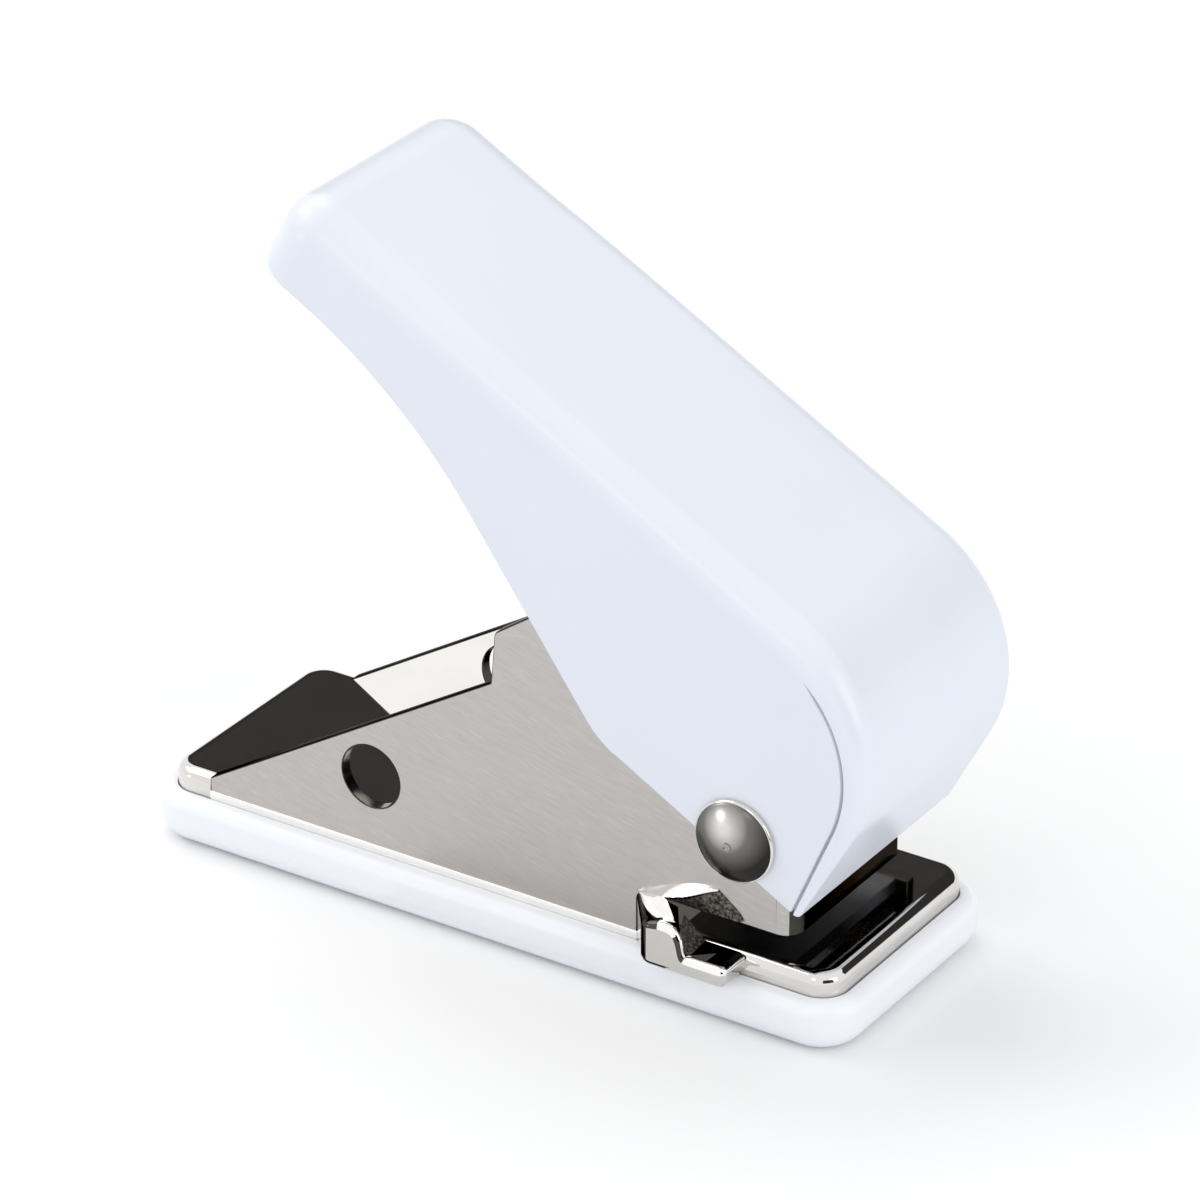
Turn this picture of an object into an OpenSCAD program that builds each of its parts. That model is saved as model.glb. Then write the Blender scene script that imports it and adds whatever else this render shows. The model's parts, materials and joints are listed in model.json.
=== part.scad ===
// Desk punch that makes one round hole in a dart flight.
// A plated deck with two side walls stands in a plastic base cover. A lever handle turns on a
// rivet near the mouth, and a cam inside it presses a spring-loaded punch through the deck.
// X runs towards the mouth, Y across and Z up. The origin is the middle of the underside.

/* [Frame] */
// Length of the deck
frame_l = 86.8; // [78:0.2:96]
// Width of the frame over its side walls
frame_w = 29; // [26:0.2:34]
// Radius of the deck's corners in plan
frame_corner_r = 3.2; // [2.6:0.1:5]
// Thickness of the frame's metal
sheet_t = 1.5; // [1:0.1:2]
// Height of the deck above the table
deck_z = 8.8; // [8:0.1:11]
// Radius that rounds the deck's outer edge
deck_edge_r = 0.8; // [0.3:0.1:1]

/* [Side walls] */
// Distance from the deck's rear end to the walls' toes
toe_run = 6; // [5.2:0.1:8.7]
// Angle at which the walls' upper edge climbs from the toe
wall_slope = 31.4; // [26:0.2:33]
// Distance from the walls' toes to the step in their upper edge
step_run = 37.8; // [34:0.1:40]
// Height of that step
step_h = 6.2; // [3:0.1:7]
// Angle at which the edge climbs from the step to the crest
shoulder_slope = 35; // [25:1:50]
// Height of the walls' crest above the table
crest_z = 42; // [41:0.1:43]
// Length of the level crest
crest_l = 10; // [4:0.5:12]
// Height of the walls' front edge above the pivot
wall_brow = 6; // [4.5:0.1:8]
// Lean of the step, along the wall
step_lean = 0.5; // [0:0.1:1]
// Radius at the foot of the step
step_foot_r = 0.4; // [0.2:0.1:1]
// Radius at the top of the step
step_top_r = 1; // [0.5:0.1:2]
// Radius at the rear of the crest
crest_rear_r = 4; // [2:0.5:6]
// Radius at the front of the crest
crest_front_r = 6; // [3:0.5:8]
// Radius at the top of the walls' front edge
brow_r = 3; // [1:0.5:4]
// Distance from the deck's front end back to the front tab
wall_setback = 4.8; // [4.3:0.1:5.1]
// Outer radius of the bend between the near wall and the front tab
bend_r = 2.2; // [2.1:0.1:2.6]
// Reach of the front tab, from the near wall's outer face
tab_reach = 21.5; // [12:0.5:24]
// Height of the front tab
tab_h = 9.5; // [6:0.1:10]
// Diameter of the tether hole in both walls
tether_d = 7.6; // [4:0.1:8]
// Distance from the walls' toes to the tether hole
tether_run = 21.9; // [19:0.1:26]
// Height of the tether hole above the deck
tether_h = 6.8; // [6:0.1:7.5]

/* [Throat] */
// Depth of the throat, from the deck's front end
throat_l = 24.4; // [22.7:0.1:26.7]
// Height of the throat above the deck
throat_h = 3.5; // [2.5:0.1:3.8]
// Radius at the rear of the throat's ceiling
throat_r = 1.2; // [0.5:0.1:2]

/* [Base cover] */
// Thickness of the cover's side wall
cover_wall = 2; // [1.8:0.1:2.6]
// Thickness of the cover's floor
cover_floor = 1.4; // [1:0.1:2]
// Height of the cover
cover_h = 6.2; // [5:0.1:6.3]
// Radius that rounds the cover's upper edge
cover_edge_r = 1.6; // [0.4:0.1:1.7]
// Radius that rounds the cover's lower edge
cover_foot_r = 3; // [1.5:0.1:3.2]
// Gap between the deck's rim and the cover's wall
cover_gap = 0.1; // [0.05:0.05:0.3]

/* [Handle] */
// Gap between each wall and the cheek beside it
cheek_gap = 0.4; // [0.3:0.05:1]
// Thickness of the handle's metal
handle_t = 1.1; // [0.8:0.1:1.3]
// Distance from the pivot back to the handle's tail
handle_tail = 78.2; // [72:0.2:90]
// Distance from the pivot to the front of the nose
handle_nose = 10.1; // [10:0.1:12]
// Distance from the pivot up to the handle's top face
handle_top = 26; // [25.5:0.1:30]
// Distance from the pivot down to the cheeks' front lower edge
handle_drop = 2.6; // [2.4:0.1:4]
// Distance from the pivot back to the heel of the cheeks
handle_heel = 18.4; // [14:0.1:22]
// Radius of the heel
heel_r = 11; // [4:0.5:14]
// Angle at which the cheeks' lower edge climbs from the heel
cheek_slope = 25.5; // [20:0.5:28]
// Depth of the handle at its tail
tail_depth = 9.6; // [7:0.1:11]
// Radius of the tail's lower corner
tail_lip_r = 2; // [1:0.1:3]
// Radius of the cheeks' front lower corner
cheek_tip_r = 1.2; // [0.5:0.1:2]
// Radius of the sweep from the climbing edge to the tail
sweep_r = 66; // [20:1:70]
// Radius of the nose seen from the side
nose_r = 17.3; // [10:0.1:18]
// Radius of the bend between the nose and the cheeks
nose_bend_r = 2.2; // [1.6:0.1:3]
// Radius of the bend between the top and the cheeks
top_bend_r = 3.6; // [2:0.1:5]
// Radius of the tail's corners seen from above
tail_corner_r = 6; // [3:0.1:8]
// Radius of the tail's upper edge seen from the side
tail_edge_r = 4.4; // [2:0.1:5]
// Width of the open seam between each cheek and the nose
seam_w = 0.35; // [0.2:0.05:0.6]
// Height of the seams' upper end above the pivot
seam_top = 21.5; // [18:0.1:22]
// Distance from the pivot back to the seams' upper end
seam_back = 2.5; // [0:0.1:4]
// Height above the pivot at which the seams turn down
seam_turn_h = 15.3; // [14:0.1:17]
// Distance from the pivot forward to that turn
seam_turn_x = 7.4; // [6:0.1:7.8]
// Radius of that turn
seam_turn_r = 12; // [6:0.5:14]
// Angle of the handle's top when it is open
open_angle = 28.7; // [26:0.1:30]
// Angle through which the handle is pressed
press_angle = 40; // [36:1:41]

/* [Pivot] */
// Distance from the deck's front end back to the pivot
pivot_back = 11.1; // [10.7:0.1:11.7]
// Height of the pivot above the deck
pivot_h = 14.5; // [14:0.1:17]
// Diameter of the rivet's shank
rivet_d = 5; // [4:0.1:5.4]
// Diameter of the rivet's heads
rivet_head_d = 9.6; // [8:0.1:11]
// Height of the rivet's heads
rivet_head_h = 1.9; // [1.2:0.1:2.5]
// Height of the heads' upright edge
rivet_edge_h = 0.6; // [0.3:0.1:0.8]
// Radius of the dimple in the crown of each head
dimple_r = 0.7; // [0.4:0.1:1]
// Depth of that dimple
dimple_h = 0.25; // [0.1:0.05:0.35]
// Diameter of the post that joins the rivet's two halves
rivet_post_d = 2.6; // [1.6:0.1:3]
// Radial clearance of a running fit
running_gap = 0.05; // [0.02:0.01:0.08]
// Side clearance under the rivet's heads
head_gap = 0.05; // [0.03:0.01:0.2]

/* [Punch] */
// Diameter of the punch
punch_d = 4; // [2:0.1:4.2]
// Distance from the pivot back to the punch, which is the cam's base radius
punch_back = 6.5; // [6:0.1:7]
// Depth of the cam's contact below the pivot when the handle is open
cam_lead = 0.6; // [0.4:0.1:1.2]
// Gap kept between the cam and the punch's head
cam_gap = 0.15; // [0.1:0.05:0.3]
// Diameter of the punch's head
punch_head_d = 6.9; // [6.6:0.1:7]
// Thickness of the punch's head
punch_head_t = 1.2; // [0.8:0.1:1.6]
// Depth of the hollow ground in the punch's tip
punch_hollow = 0.5; // [0.2:0.1:0.8]
// Distance that the tip stays up inside the guide when open
punch_rest = 0.2; // [0.05:0.05:0.4]
// Thickness of the guide bridge
bridge_t = 1.6; // [1.2:0.1:2]
// Height of the bridge's side flanges
bridge_flange_h = 5; // [3:0.5:7]
// Height of the collar round the guide's bore
collar_h = 1.2; // [0.6:0.1:1.6]
// Wall of that collar
collar_wall = 0.6; // [0.4:0.1:0.8]
// Thickness of the drive cam
cam_t = 8; // [6:0.5:10]
// Clearance between the cam and the rivet
rivet_clear = 0.9; // [0.5:0.1:1.2]
// Length of the cam's foot under the handle's top
cam_foot_l = 14; // [10:0.5:18]
// Width of that foot
cam_foot_w = 16; // [12:0.5:20]
// Thickness of that foot
cam_foot_t = 1.4; // [1:0.1:2]
// Distance that the cam's web reaches back behind the punch's axis
cam_heel = 2.5; // [2.2:0.1:3.5]

/* [Return spring] */
// Diameter of the spring's wire
wire_d = 0.6; // [0.4:0.05:0.7]
// Turns of the spring
spring_turns = 3.5; // [3:0.5:4]
// Clearance between the spring and the collar inside it
spring_gap = 0.2; // [0.15:0.05:0.25]

/* [Flight guide] */
// Length of the guide along the deck
guide_l = 13.6; // [13:0.1:15]
// Distance that the guide stands out from the near wall
guide_reach = 4.4; // [3.8:0.1:5]
// Slant of the guide's rear end, along the deck
guide_slant = 3.4; // [2:0.1:4]
// Radius of the guide's outer corners seen from above
guide_corner_r = 1.4; // [0.8:0.1:1.8]
// Radius under the shelf's outer edge
shelf_edge_r = 0.5; // [0.3:0.1:0.7]
// Thickness of the hood's outer wall
hood_t = 0.8; // [0.6:0.1:1]
// Distance from the guide's rear end to the front of the hood's outer wall
hood_l = 7.6; // [7:0.1:8.5]
// Height of the hood's outer wall above the deck
hood_wall_h = 3.4; // [3:0.1:3.8]
// Height of the hood's ridge above the deck
hood_ridge_h = 5; // [4.6:0.1:5.5]
// Distance of the ridge from the near wall
hood_ridge_out = 2.2; // [1.6:0.1:2.6]
// Height of the hood's root on the wall above the deck
hood_root_h = 6.9; // [6.4:0.1:7.5]
// Distance from the guide's rear end to the top of the hood's arch
arch_run = 9; // [8:0.1:10]
// Radius at the top of that arch
arch_r = 4; // [2:0.5:5]
// Distance from the guide's rear end to the notch in the roof's front edge
notch_l = 4.7; // [4:0.1:5.5]
// Radius in that notch
notch_r = 0.4; // [0.2:0.1:0.8]
// Distance from the guide's rear end to the foot of the ramp inside
ramp_foot = 8.6; // [8:0.1:9.4]
// Angle of that ramp
ramp_slope = 41; // [36:1:46]
// Gap between the guide and the cover below it
guide_gap = 0.1; // [0.05:0.05:0.3]

/* [Hidden] */
$fn = 48;

// Margin by which a cut runs past the face that it opens
past = 1;
// Steps of the arcs in the handle's side view
side_steps = 14;
// Sides of the circle that domes the rivet's heads
dome_sides = 96;
// Room left between the end of the rivet's post and its bore
post_room = 1;

// Places of the frame
cover_l = frame_l + 2 * (cover_gap + cover_wall);
cover_w = frame_w + 2 * (cover_gap + cover_wall);
cover_corner_r = frame_corner_r + cover_gap + cover_wall;
// Where the cover's rim meets its floor, seen in the rim's section
cover_foot_in = (cover_corner_r - cover_foot_r) / 2;
near_y = -frame_w / 2;
inner_half_w = frame_w / 2 - sheet_t;
toe_x = -frame_l / 2 + toe_run;
step_x = toe_x + step_run;
step_z = deck_z + step_run * tan(wall_slope);
crest_x = step_x + step_lean + (crest_z - step_z - step_h) / tan(shoulder_slope);
tab_front_x = frame_l / 2 - wall_setback;
wall_front_x = tab_front_x - bend_r;
throat_x = frame_l / 2 - throat_l;
jaw_z = deck_z + throat_h;
pivot_x = frame_l / 2 - pivot_back;
pivot_z = deck_z + pivot_h;
brow_z = pivot_z + wall_brow;

// Places of the punch train
punch_x = pivot_x - punch_back;
punch_top_z = pivot_z - cam_lead - cam_gap;
punch_tip_z = jaw_z + punch_rest;
bridge_top_z = jaw_z + bridge_t;
collar_r = punch_d / 2 + running_gap + collar_wall;
spring_r = collar_r + spring_gap + wire_d / 2;
spring_low_z = bridge_top_z + wire_d / 2;
spring_high_z = punch_top_z - punch_head_t - wire_d / 2;

// Places of the handle, in its own frame with the pivot at zero
handle_w = frame_w + 2 * (cheek_gap + handle_t);
tail_low = handle_top - tail_depth;
roof_low = handle_top - handle_t;
nose_arc_x = handle_nose - nose_r;
// Reach of an outline beyond the handle where another outline bounds it
beyond = 3 * handle_top;

function xy(p) = [p[0], p[1]];
function unit(v) = v / norm(v);
function heading(v) = atan2(v[1], v[0]);
function short_turn(a) = a - 360 * round(a / 360);

// Points of one outline corner q between its neighbours p and s, rounded to radius r
function corner(p, q, s, r, steps) =
    let (
        back = unit(p - q),
        ahead = unit(s - q),
        half = acos(back * ahead) / 2,
        centre = q + unit(back + ahead) * r / sin(half),
        first = heading(q + back * r / tan(half) - centre),
        sweep = short_turn(heading(q + ahead * r / tan(half) - centre) - first)
    )
    [for (i = [0 : steps])
        let (a = first + sweep * i / steps)
        centre + r * [cos(a), sin(a)]];

// Closed outline through corners [x, y, r], each rounded to its radius r
function outline(c, steps = 8) = [
    for (i = [0 : len(c) - 1])
        let (
            p = xy(c[(i + len(c) - 1) % len(c)]),
            q = xy(c[i]),
            s = xy(c[(i + 1) % len(c)])
        )
        each c[i][2] > 0 ? corner(p, q, s, c[i][2], steps) : [q]
];

module rounded_rect(l, w, r) {
    square([l - 2 * r, w], center = true);
    square([l, w - 2 * r], center = true);
    for (sx = [-1, 1], sy = [-1, 1])
        translate([sx * (l / 2 - r), sy * (w / 2 - r)])
            circle(r);
}

// Carries a wall's section round a rounded rectangle; the section's x starts at the corner's centre
module rim(l, w, r) {
    for (turn = [0 : 3]) {
        long = turn % 2 == 0;
        run = (long ? l : w) - 2 * r;
        rotate(90 * turn)
            translate([-run / 2, (long ? w : l) / 2 - r, 0])
                rotate([90, 0, 90])
                    linear_extrude(run)
                        children();
        rotate(90 * turn)
            translate([(long ? l : w) / 2 - r, (long ? w : l) / 2 - r, 0])
                rotate_extrude(angle = 90)
                    children();
    }
}

// Extrudes an outline drawn in X and Z across the width, from y to y + w
module across(y, w) {
    translate([0, y + w, 0])
        rotate([90, 0, 0])
            linear_extrude(w)
                children();
}

// Extrudes an outline drawn in Y and Z along the length, from x to x + l
module along(x, l) {
    translate([x, 0, 0])
        rotate([90, 0, 90])
            linear_extrude(l)
                children();
}

// Cylinder about the cross axis at x and z, from y to y + w
module cross_cylinder(x, z, d, y, w) {
    translate([x, y, z])
        rotate([-90, 0, 0])
            cylinder(h = w, d = d);
}

module base_cover() {
    color("white") {
        rim(cover_l, cover_w, cover_corner_r)
            polygon(outline([
                [cover_foot_in, 0, 0],
                [cover_corner_r, 0, cover_foot_r],
                [cover_corner_r, cover_h, cover_edge_r],
                [cover_corner_r - cover_wall, cover_h, 0],
                [cover_corner_r - cover_wall, cover_floor, 0],
                [cover_foot_in, cover_floor, 0]
            ]));
        linear_extrude(cover_floor)
            rounded_rect(
                cover_l - 2 * (cover_corner_r - cover_foot_in),
                cover_w - 2 * (cover_corner_r - cover_foot_in),
                cover_foot_in
            );
    }
}

// Plate with a rim turned down round its two ends; the side walls stand along the rest
module deck() {
    color("silver")
        difference() {
            union() {
                rim(frame_l, frame_w, frame_corner_r)
                    polygon(outline([
                        [frame_corner_r - sheet_t, cover_floor, 0],
                        [frame_corner_r, cover_floor, 0],
                        [frame_corner_r, deck_z, deck_edge_r],
                        [frame_corner_r - sheet_t, deck_z, 0]
                    ]));
                translate([0, 0, deck_z - sheet_t])
                    linear_extrude(sheet_t)
                        rounded_rect(
                            frame_l - 2 * sheet_t,
                            frame_w - 2 * sheet_t,
                            frame_corner_r - sheet_t
                        );
            }
            translate([punch_x, 0, deck_z - sheet_t - past])
                cylinder(h = sheet_t + 2 * past, d = punch_d + 2 * running_gap);
            for (side = [-1, 1])
                translate([toe_x, side * (inner_half_w + frame_w) - frame_w, cover_floor - past])
                    cube([throat_x - toe_x, 2 * frame_w, deck_z + 2 * past]);
        }
}

// Side wall from y to y + sheet_t, standing on the cover's floor beside the deck
module wall(y) {
    difference() {
        across(y, sheet_t)
            polygon(outline([
                [toe_x, cover_floor, 0],
                [throat_x, cover_floor, 0],
                [throat_x, jaw_z, throat_r],
                [wall_front_x, jaw_z, 0],
                [wall_front_x, brow_z, brow_r],
                [crest_x + crest_l, crest_z, crest_front_r],
                [crest_x, crest_z, crest_rear_r],
                [step_x + step_lean, step_z + step_h, step_top_r],
                [step_x, step_z, step_foot_r],
                [toe_x, deck_z, 0]
            ]));
        cross_cylinder(toe_x + tether_run, deck_z + tether_h, tether_d, y - past, sheet_t + 2 * past);
        cross_cylinder(pivot_x, pivot_z, rivet_d + 2 * running_gap, y - past, sheet_t + 2 * past);
    }
}

// Tab bent across the front from the near wall; the open handle's nose rests on it
module front_tab() {
    translate([0, 0, jaw_z])
        linear_extrude(tab_h)
            polygon(outline([
                [wall_front_x, near_y, 0],
                [tab_front_x, near_y, bend_r],
                [tab_front_x, near_y + tab_reach, 0],
                [tab_front_x - sheet_t, near_y + tab_reach, 0],
                [tab_front_x - sheet_t, near_y + sheet_t, bend_r - sheet_t],
                [wall_front_x, near_y + sheet_t, 0]
            ]));
}

module near_wall() {
    color("silver") {
        wall(near_y);
        front_tab();
    }
}

module far_wall() {
    color("silver") wall(inner_half_w);
}

// Guide seen from above, closing on the wall along the points in front
module guide_plan(front) {
    polygon(outline(concat(
        [
            [throat_x, near_y, 0],
            [throat_x + guide_slant, near_y - guide_reach, guide_corner_r]
        ],
        front
    )));
}

// Shelf level with the deck, on which the flight lies
module guide_shelf() {
    shelf_z = cover_h + guide_gap;
    intersection() {
        along(throat_x, guide_l)
            polygon(outline([
                [near_y, shelf_z, 0],
                [near_y - guide_reach, shelf_z, shelf_edge_r],
                [near_y - guide_reach, deck_z, deck_edge_r],
                [near_y, deck_z, 0]
            ]));
        linear_extrude(2 * deck_z)
            guide_plan([
                [throat_x + guide_l, near_y - guide_reach, guide_corner_r],
                [throat_x + guide_l, near_y, 0]
            ]);
    }
}

// Section of the hood across the wall, thinned by inset
module hood_section(inset) {
    polygon([
        [near_y + inset, deck_z - deck_edge_r],
        [near_y - guide_reach + inset, deck_z - deck_edge_r],
        [near_y - guide_reach + inset, deck_z + hood_wall_h - inset],
        [near_y - hood_ridge_out, deck_z + hood_ridge_h - inset],
        [near_y + inset, deck_z + hood_root_h - inset]
    ]);
}

// Hood seen from the side, where its root arches over the throat
module hood_arch() {
    polygon(outline([
        [throat_x, deck_z - deck_edge_r, 0],
        [throat_x, jaw_z, 0],
        [throat_x + arch_run, deck_z + hood_root_h, arch_r],
        [throat_x + guide_l, jaw_z, 0],
        [throat_x + guide_l, deck_z - deck_edge_r, 0]
    ]));
}

// Room under the hood, in front of a ramp that stops the flight's edge
module hood_room() {
    ramp_rise = hood_root_h;
    ramp_x = throat_x + ramp_foot;
    intersection() {
        along(throat_x, guide_l + past) hood_section(hood_t);
        across(near_y - guide_reach, guide_reach + past)
            polygon([
                [ramp_x, deck_z],
                [throat_x + guide_l + past, deck_z],
                [throat_x + guide_l + past, deck_z + ramp_rise],
                [ramp_x - ramp_rise / tan(ramp_slope), deck_z + ramp_rise]
            ]);
    }
}

module flight_guide() {
    color("gainsboro") {
        guide_shelf();
        difference() {
            intersection() {
                along(throat_x, guide_l) hood_section(0);
                across(near_y - guide_reach, guide_reach) hood_arch();
                linear_extrude(crest_z)
                    guide_plan([
                        [throat_x + hood_l, near_y - guide_reach, hood_t / 2],
                        [throat_x + notch_l, near_y - hood_ridge_out, notch_r],
                        [throat_x + guide_l, near_y, 0]
                    ]);
            }
            hood_room();
        }
    }
}

module guide_bridge() {
    front_x = wall_front_x - sheet_t;
    rear_x = punch_x - punch_head_d / 2 - sheet_t;
    color("lightgray")
        difference() {
            union() {
                translate([rear_x, -inner_half_w, jaw_z])
                    cube([front_x - rear_x, 2 * inner_half_w, bridge_t]);
                for (side = [-1, 1])
                    translate([rear_x, side * (inner_half_w - bridge_t / 2) - bridge_t / 2, jaw_z])
                        cube([punch_head_d + 2 * sheet_t, bridge_t, bridge_flange_h]);
                translate([punch_x, 0, bridge_top_z])
                    cylinder(h = collar_h, r = collar_r);
            }
            translate([punch_x, 0, jaw_z - past])
                cylinder(h = bridge_t + collar_h + 2 * past, d = punch_d + 2 * running_gap);
        }
}

module punch_pin() {
    color("dimgray")
        difference() {
            translate([punch_x, 0, 0])
                rotate_extrude()
                    polygon([
                        [0, punch_tip_z],
                        [punch_d / 2, punch_tip_z],
                        [punch_d / 2, punch_top_z - punch_head_t],
                        [punch_head_d / 2, punch_top_z - punch_head_t],
                        [punch_head_d / 2, punch_top_z],
                        [0, punch_top_z]
                    ]);
            // Hollow across the tip, which leaves two points that start the cut
            across(-punch_d, 2 * punch_d)
                polygon([
                    [punch_x - punch_d / 2 - past, punch_tip_z - past],
                    [punch_x - punch_d / 2, punch_tip_z],
                    [punch_x, punch_tip_z + punch_hollow],
                    [punch_x + punch_d / 2, punch_tip_z],
                    [punch_x + punch_d / 2 + past, punch_tip_z - past]
                ]);
        }
}

// The spring's wire: rings along a helix, with a straight wire diameter at each end
wire_sides = 6;
turn_rings = 8;
ring_count = spring_turns * turn_rings;
spring_rise = spring_high_z - spring_low_z;

function helix(i) =
    let (a = 360 * i / turn_rings)
    [spring_r * cos(a), spring_r * sin(a), spring_low_z + spring_rise * i / ring_count];
function helix_ahead(i) =
    let (a = 360 * i / turn_rings)
    unit([-sin(a), cos(a), 0]);
function wire_centre(i) =
    i < 0 ? helix(0) - helix_ahead(0) * wire_d
    : i > ring_count ? helix(ring_count) + helix_ahead(ring_count) * wire_d
    : helix(i);
function wire_out(i) =
    let (k = max(0, min(ring_count, i)), a = 360 * k / turn_rings)
    [cos(a), sin(a), 0];

wire_rings = [
    for (i = [-1 : ring_count + 1])
        [for (s = [0 : wire_sides - 1])
            wire_centre(i) + wire_d / 2 * (wire_out(i) * cos(360 * s / wire_sides)
                + [0, 0, 1] * sin(360 * s / wire_sides))]
];
spring_least_gap = min([
    for (i = [0 : ring_count], j = [0 : ring_count])
        if (j - i >= turn_rings / 2) norm(helix(j) - helix(i)) - wire_d
]);
echo(spring_least_gap = spring_least_gap);

module return_spring() {
    last = len(wire_rings) - 1;
    color("darkgray")
        translate([punch_x, 0, 0])
            polyhedron(
                points = [for (ring = wire_rings) each ring],
                faces = [
                    for (k = [0 : last - 1], s = [0 : wire_sides - 1])
                        let (
                            a = k * wire_sides + s,
                            b = k * wire_sides + (s + 1) % wire_sides
                        )
                        each [[a, a + wire_sides, b], [b, a + wire_sides, b + wire_sides]],
                    for (s = [1 : wire_sides - 2]) [0, s, s + 1],
                    for (s = [1 : wire_sides - 2])
                        [last * wire_sides, last * wire_sides + s + 1, last * wire_sides + s]
                ]
            );
}

// Angle between the cam's points
cam_step = 4;

// Cam point that meets the punch after the handle has turned by a, from the pivot
function cam_point(a) =
    let (drop = cam_lead + punch_back * a * PI / 180)
    [-punch_back * cos(a) - drop * sin(a), punch_back * sin(a) - drop * cos(a)];

// Places an item drawn in the handle's own frame at the pivot, open
module at_handle() {
    translate([pivot_x, 0, pivot_z])
        rotate([0, open_angle, 0])
            children();
}

// Pressing leg welded under the handle's top, whose involute toe drives the punch straight down
module drive_cam() {
    web_front = rivet_d / 2 + rivet_clear;
    web_back = punch_back + cam_heel;
    color("slategray") {
        translate([pivot_x, 0, pivot_z])
            across(-cam_t / 2, cam_t)
                polygon(concat(
                    [for (a = [-cam_step : cam_step : press_angle + cam_step]) cam_point(a)],
                    [[-web_back, cam_heel], [-web_front, cam_heel], [-web_front, -cam_lead]]
                ));
        at_handle()
            across(-cam_t / 2, cam_t)
                polygon([
                    [-web_back, 0],
                    [-web_front, 0],
                    [-web_front, roof_low / 2],
                    [nose_arc_x, roof_low],
                    [nose_arc_x - cam_foot_l / 2, roof_low],
                    [-web_back, roof_low / 2]
                ]);
        at_handle()
            translate([nose_arc_x - cam_foot_l, -cam_foot_w / 2, roof_low - cam_foot_t])
                cube([cam_foot_l, cam_foot_w, cam_foot_t]);
    }
}

// Handle seen from the side; the room inside is thinner by inset and open below
module handle_side(inset) {
    solid_edge = [
        [handle_nose, -handle_drop, cheek_tip_r],
        [-handle_heel, -handle_drop, heel_r],
        [-handle_heel - (tail_low + handle_drop) / tan(cheek_slope), tail_low, sweep_r],
        [-handle_tail, tail_low, tail_lip_r]
    ];
    open_edge = [
        [handle_nose - inset, -beyond, 0],
        [-handle_tail + inset, -beyond, 0]
    ];
    polygon(outline(concat(
        [
            [-handle_tail + inset, handle_top - inset, tail_edge_r - inset],
            [handle_nose - inset, handle_top - inset, nose_r - inset]
        ],
        inset > 0 ? open_edge : solid_edge
    ), side_steps));
}

// Handle seen from above
module handle_plan(inset) {
    half = handle_w / 2 - inset;
    polygon(outline([
        [-handle_tail + inset, -half, tail_corner_r - inset],
        [handle_nose - inset, -half, nose_bend_r - inset],
        [handle_nose - inset, half, nose_bend_r - inset],
        [-handle_tail + inset, half, tail_corner_r - inset]
    ]));
}

// Handle seen from the front
module handle_section(inset) {
    half = handle_w / 2 - inset;
    polygon(outline([
        [-half, -beyond, 0],
        [half, -beyond, 0],
        [half, handle_top - inset, top_bend_r - inset],
        [-half, handle_top - inset, top_bend_r - inset]
    ]));
}

module handle_body(inset) {
    intersection() {
        across(-handle_w, 2 * handle_w) handle_side(inset);
        translate([0, 0, -beyond]) linear_extrude(2 * beyond) handle_plan(inset);
        along(-handle_tail - past, handle_tail + handle_nose + 2 * past) handle_section(inset);
    }
}

// Region of a cheek behind its seam, seen from the side
module behind_seam() {
    polygon(outline([
        [-seam_back, seam_top, 0],
        [seam_turn_x, seam_turn_h, seam_turn_r],
        [handle_nose - handle_t / 2, -handle_drop - past, 0],
        [-handle_heel, -handle_drop - past, 0]
    ]));
}

// Open seams down both sides of the nose, between it and the cheeks
module nose_seams() {
    for (side = [-1, 1])
        across(side * handle_w / 2 - handle_t, 2 * handle_t)
            difference() {
                behind_seam();
                translate([-seam_w, -seam_w]) behind_seam();
                translate([-handle_heel - past, -handle_drop - 2 * past])
                    square([
                        handle_heel + past - seam_back + 2 * seam_w,
                        handle_top + handle_drop + 2 * past
                    ]);
                translate([-handle_heel, -handle_drop - past - seam_w])
                    square([handle_heel + handle_nose - handle_t - seam_w, 2 * seam_w]);
            }
}

module handle() {
    color("whitesmoke")
        at_handle()
            difference() {
                handle_body(0);
                handle_body(handle_t);
                nose_seams();
                cross_cylinder(0, 0, rivet_d + 2 * running_gap, -handle_w, 2 * handle_w);
            }
}

// Domed rivet head standing on its flat face, with a dimple in its crown
module rivet_head() {
    head_r = rivet_head_d / 2;
    crown_h = rivet_head_h - rivet_edge_h;
    dome_r = (head_r ^ 2 + crown_h ^ 2) / (2 * crown_h);
    rotate_extrude()
        difference() {
            intersection() {
                translate([0, rivet_head_h - dome_r]) circle(dome_r, $fn = dome_sides);
                square([head_r, rivet_head_h]);
            }
            translate([0, rivet_head_h + dimple_r - dimple_h]) circle(dimple_r);
        }
}

module pivot_rivet() {
    seat_y = handle_w / 2 + head_gap;
    shank_l = 2 * seat_y;
    color("silver")
        difference() {
            union() {
                translate([pivot_x, -seat_y, pivot_z]) rotate([90, 0, 0]) rivet_head();
                cross_cylinder(pivot_x, pivot_z, rivet_d, -seat_y, shank_l);
            }
            cross_cylinder(pivot_x, pivot_z, rivet_post_d + 2 * running_gap, 0, seat_y + past);
        }
}

module rivet_cap() {
    seat_y = handle_w / 2 + head_gap;
    post_l = seat_y - post_room;
    color("silver") {
        translate([pivot_x, seat_y, pivot_z]) rotate([-90, 0, 0]) rivet_head();
        cross_cylinder(pivot_x, pivot_z, rivet_post_d, seat_y - post_l, post_l);
    }
}

base_cover();
deck();
near_wall();
far_wall();
flight_guide();
guide_bridge();
punch_pin();
return_spring();
drive_cam();
handle();
pivot_rivet();
rivet_cap();
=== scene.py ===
import json
import math

import bmesh
import bpy
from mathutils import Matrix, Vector
from mathutils.geometry import tessellate_polygon

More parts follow.
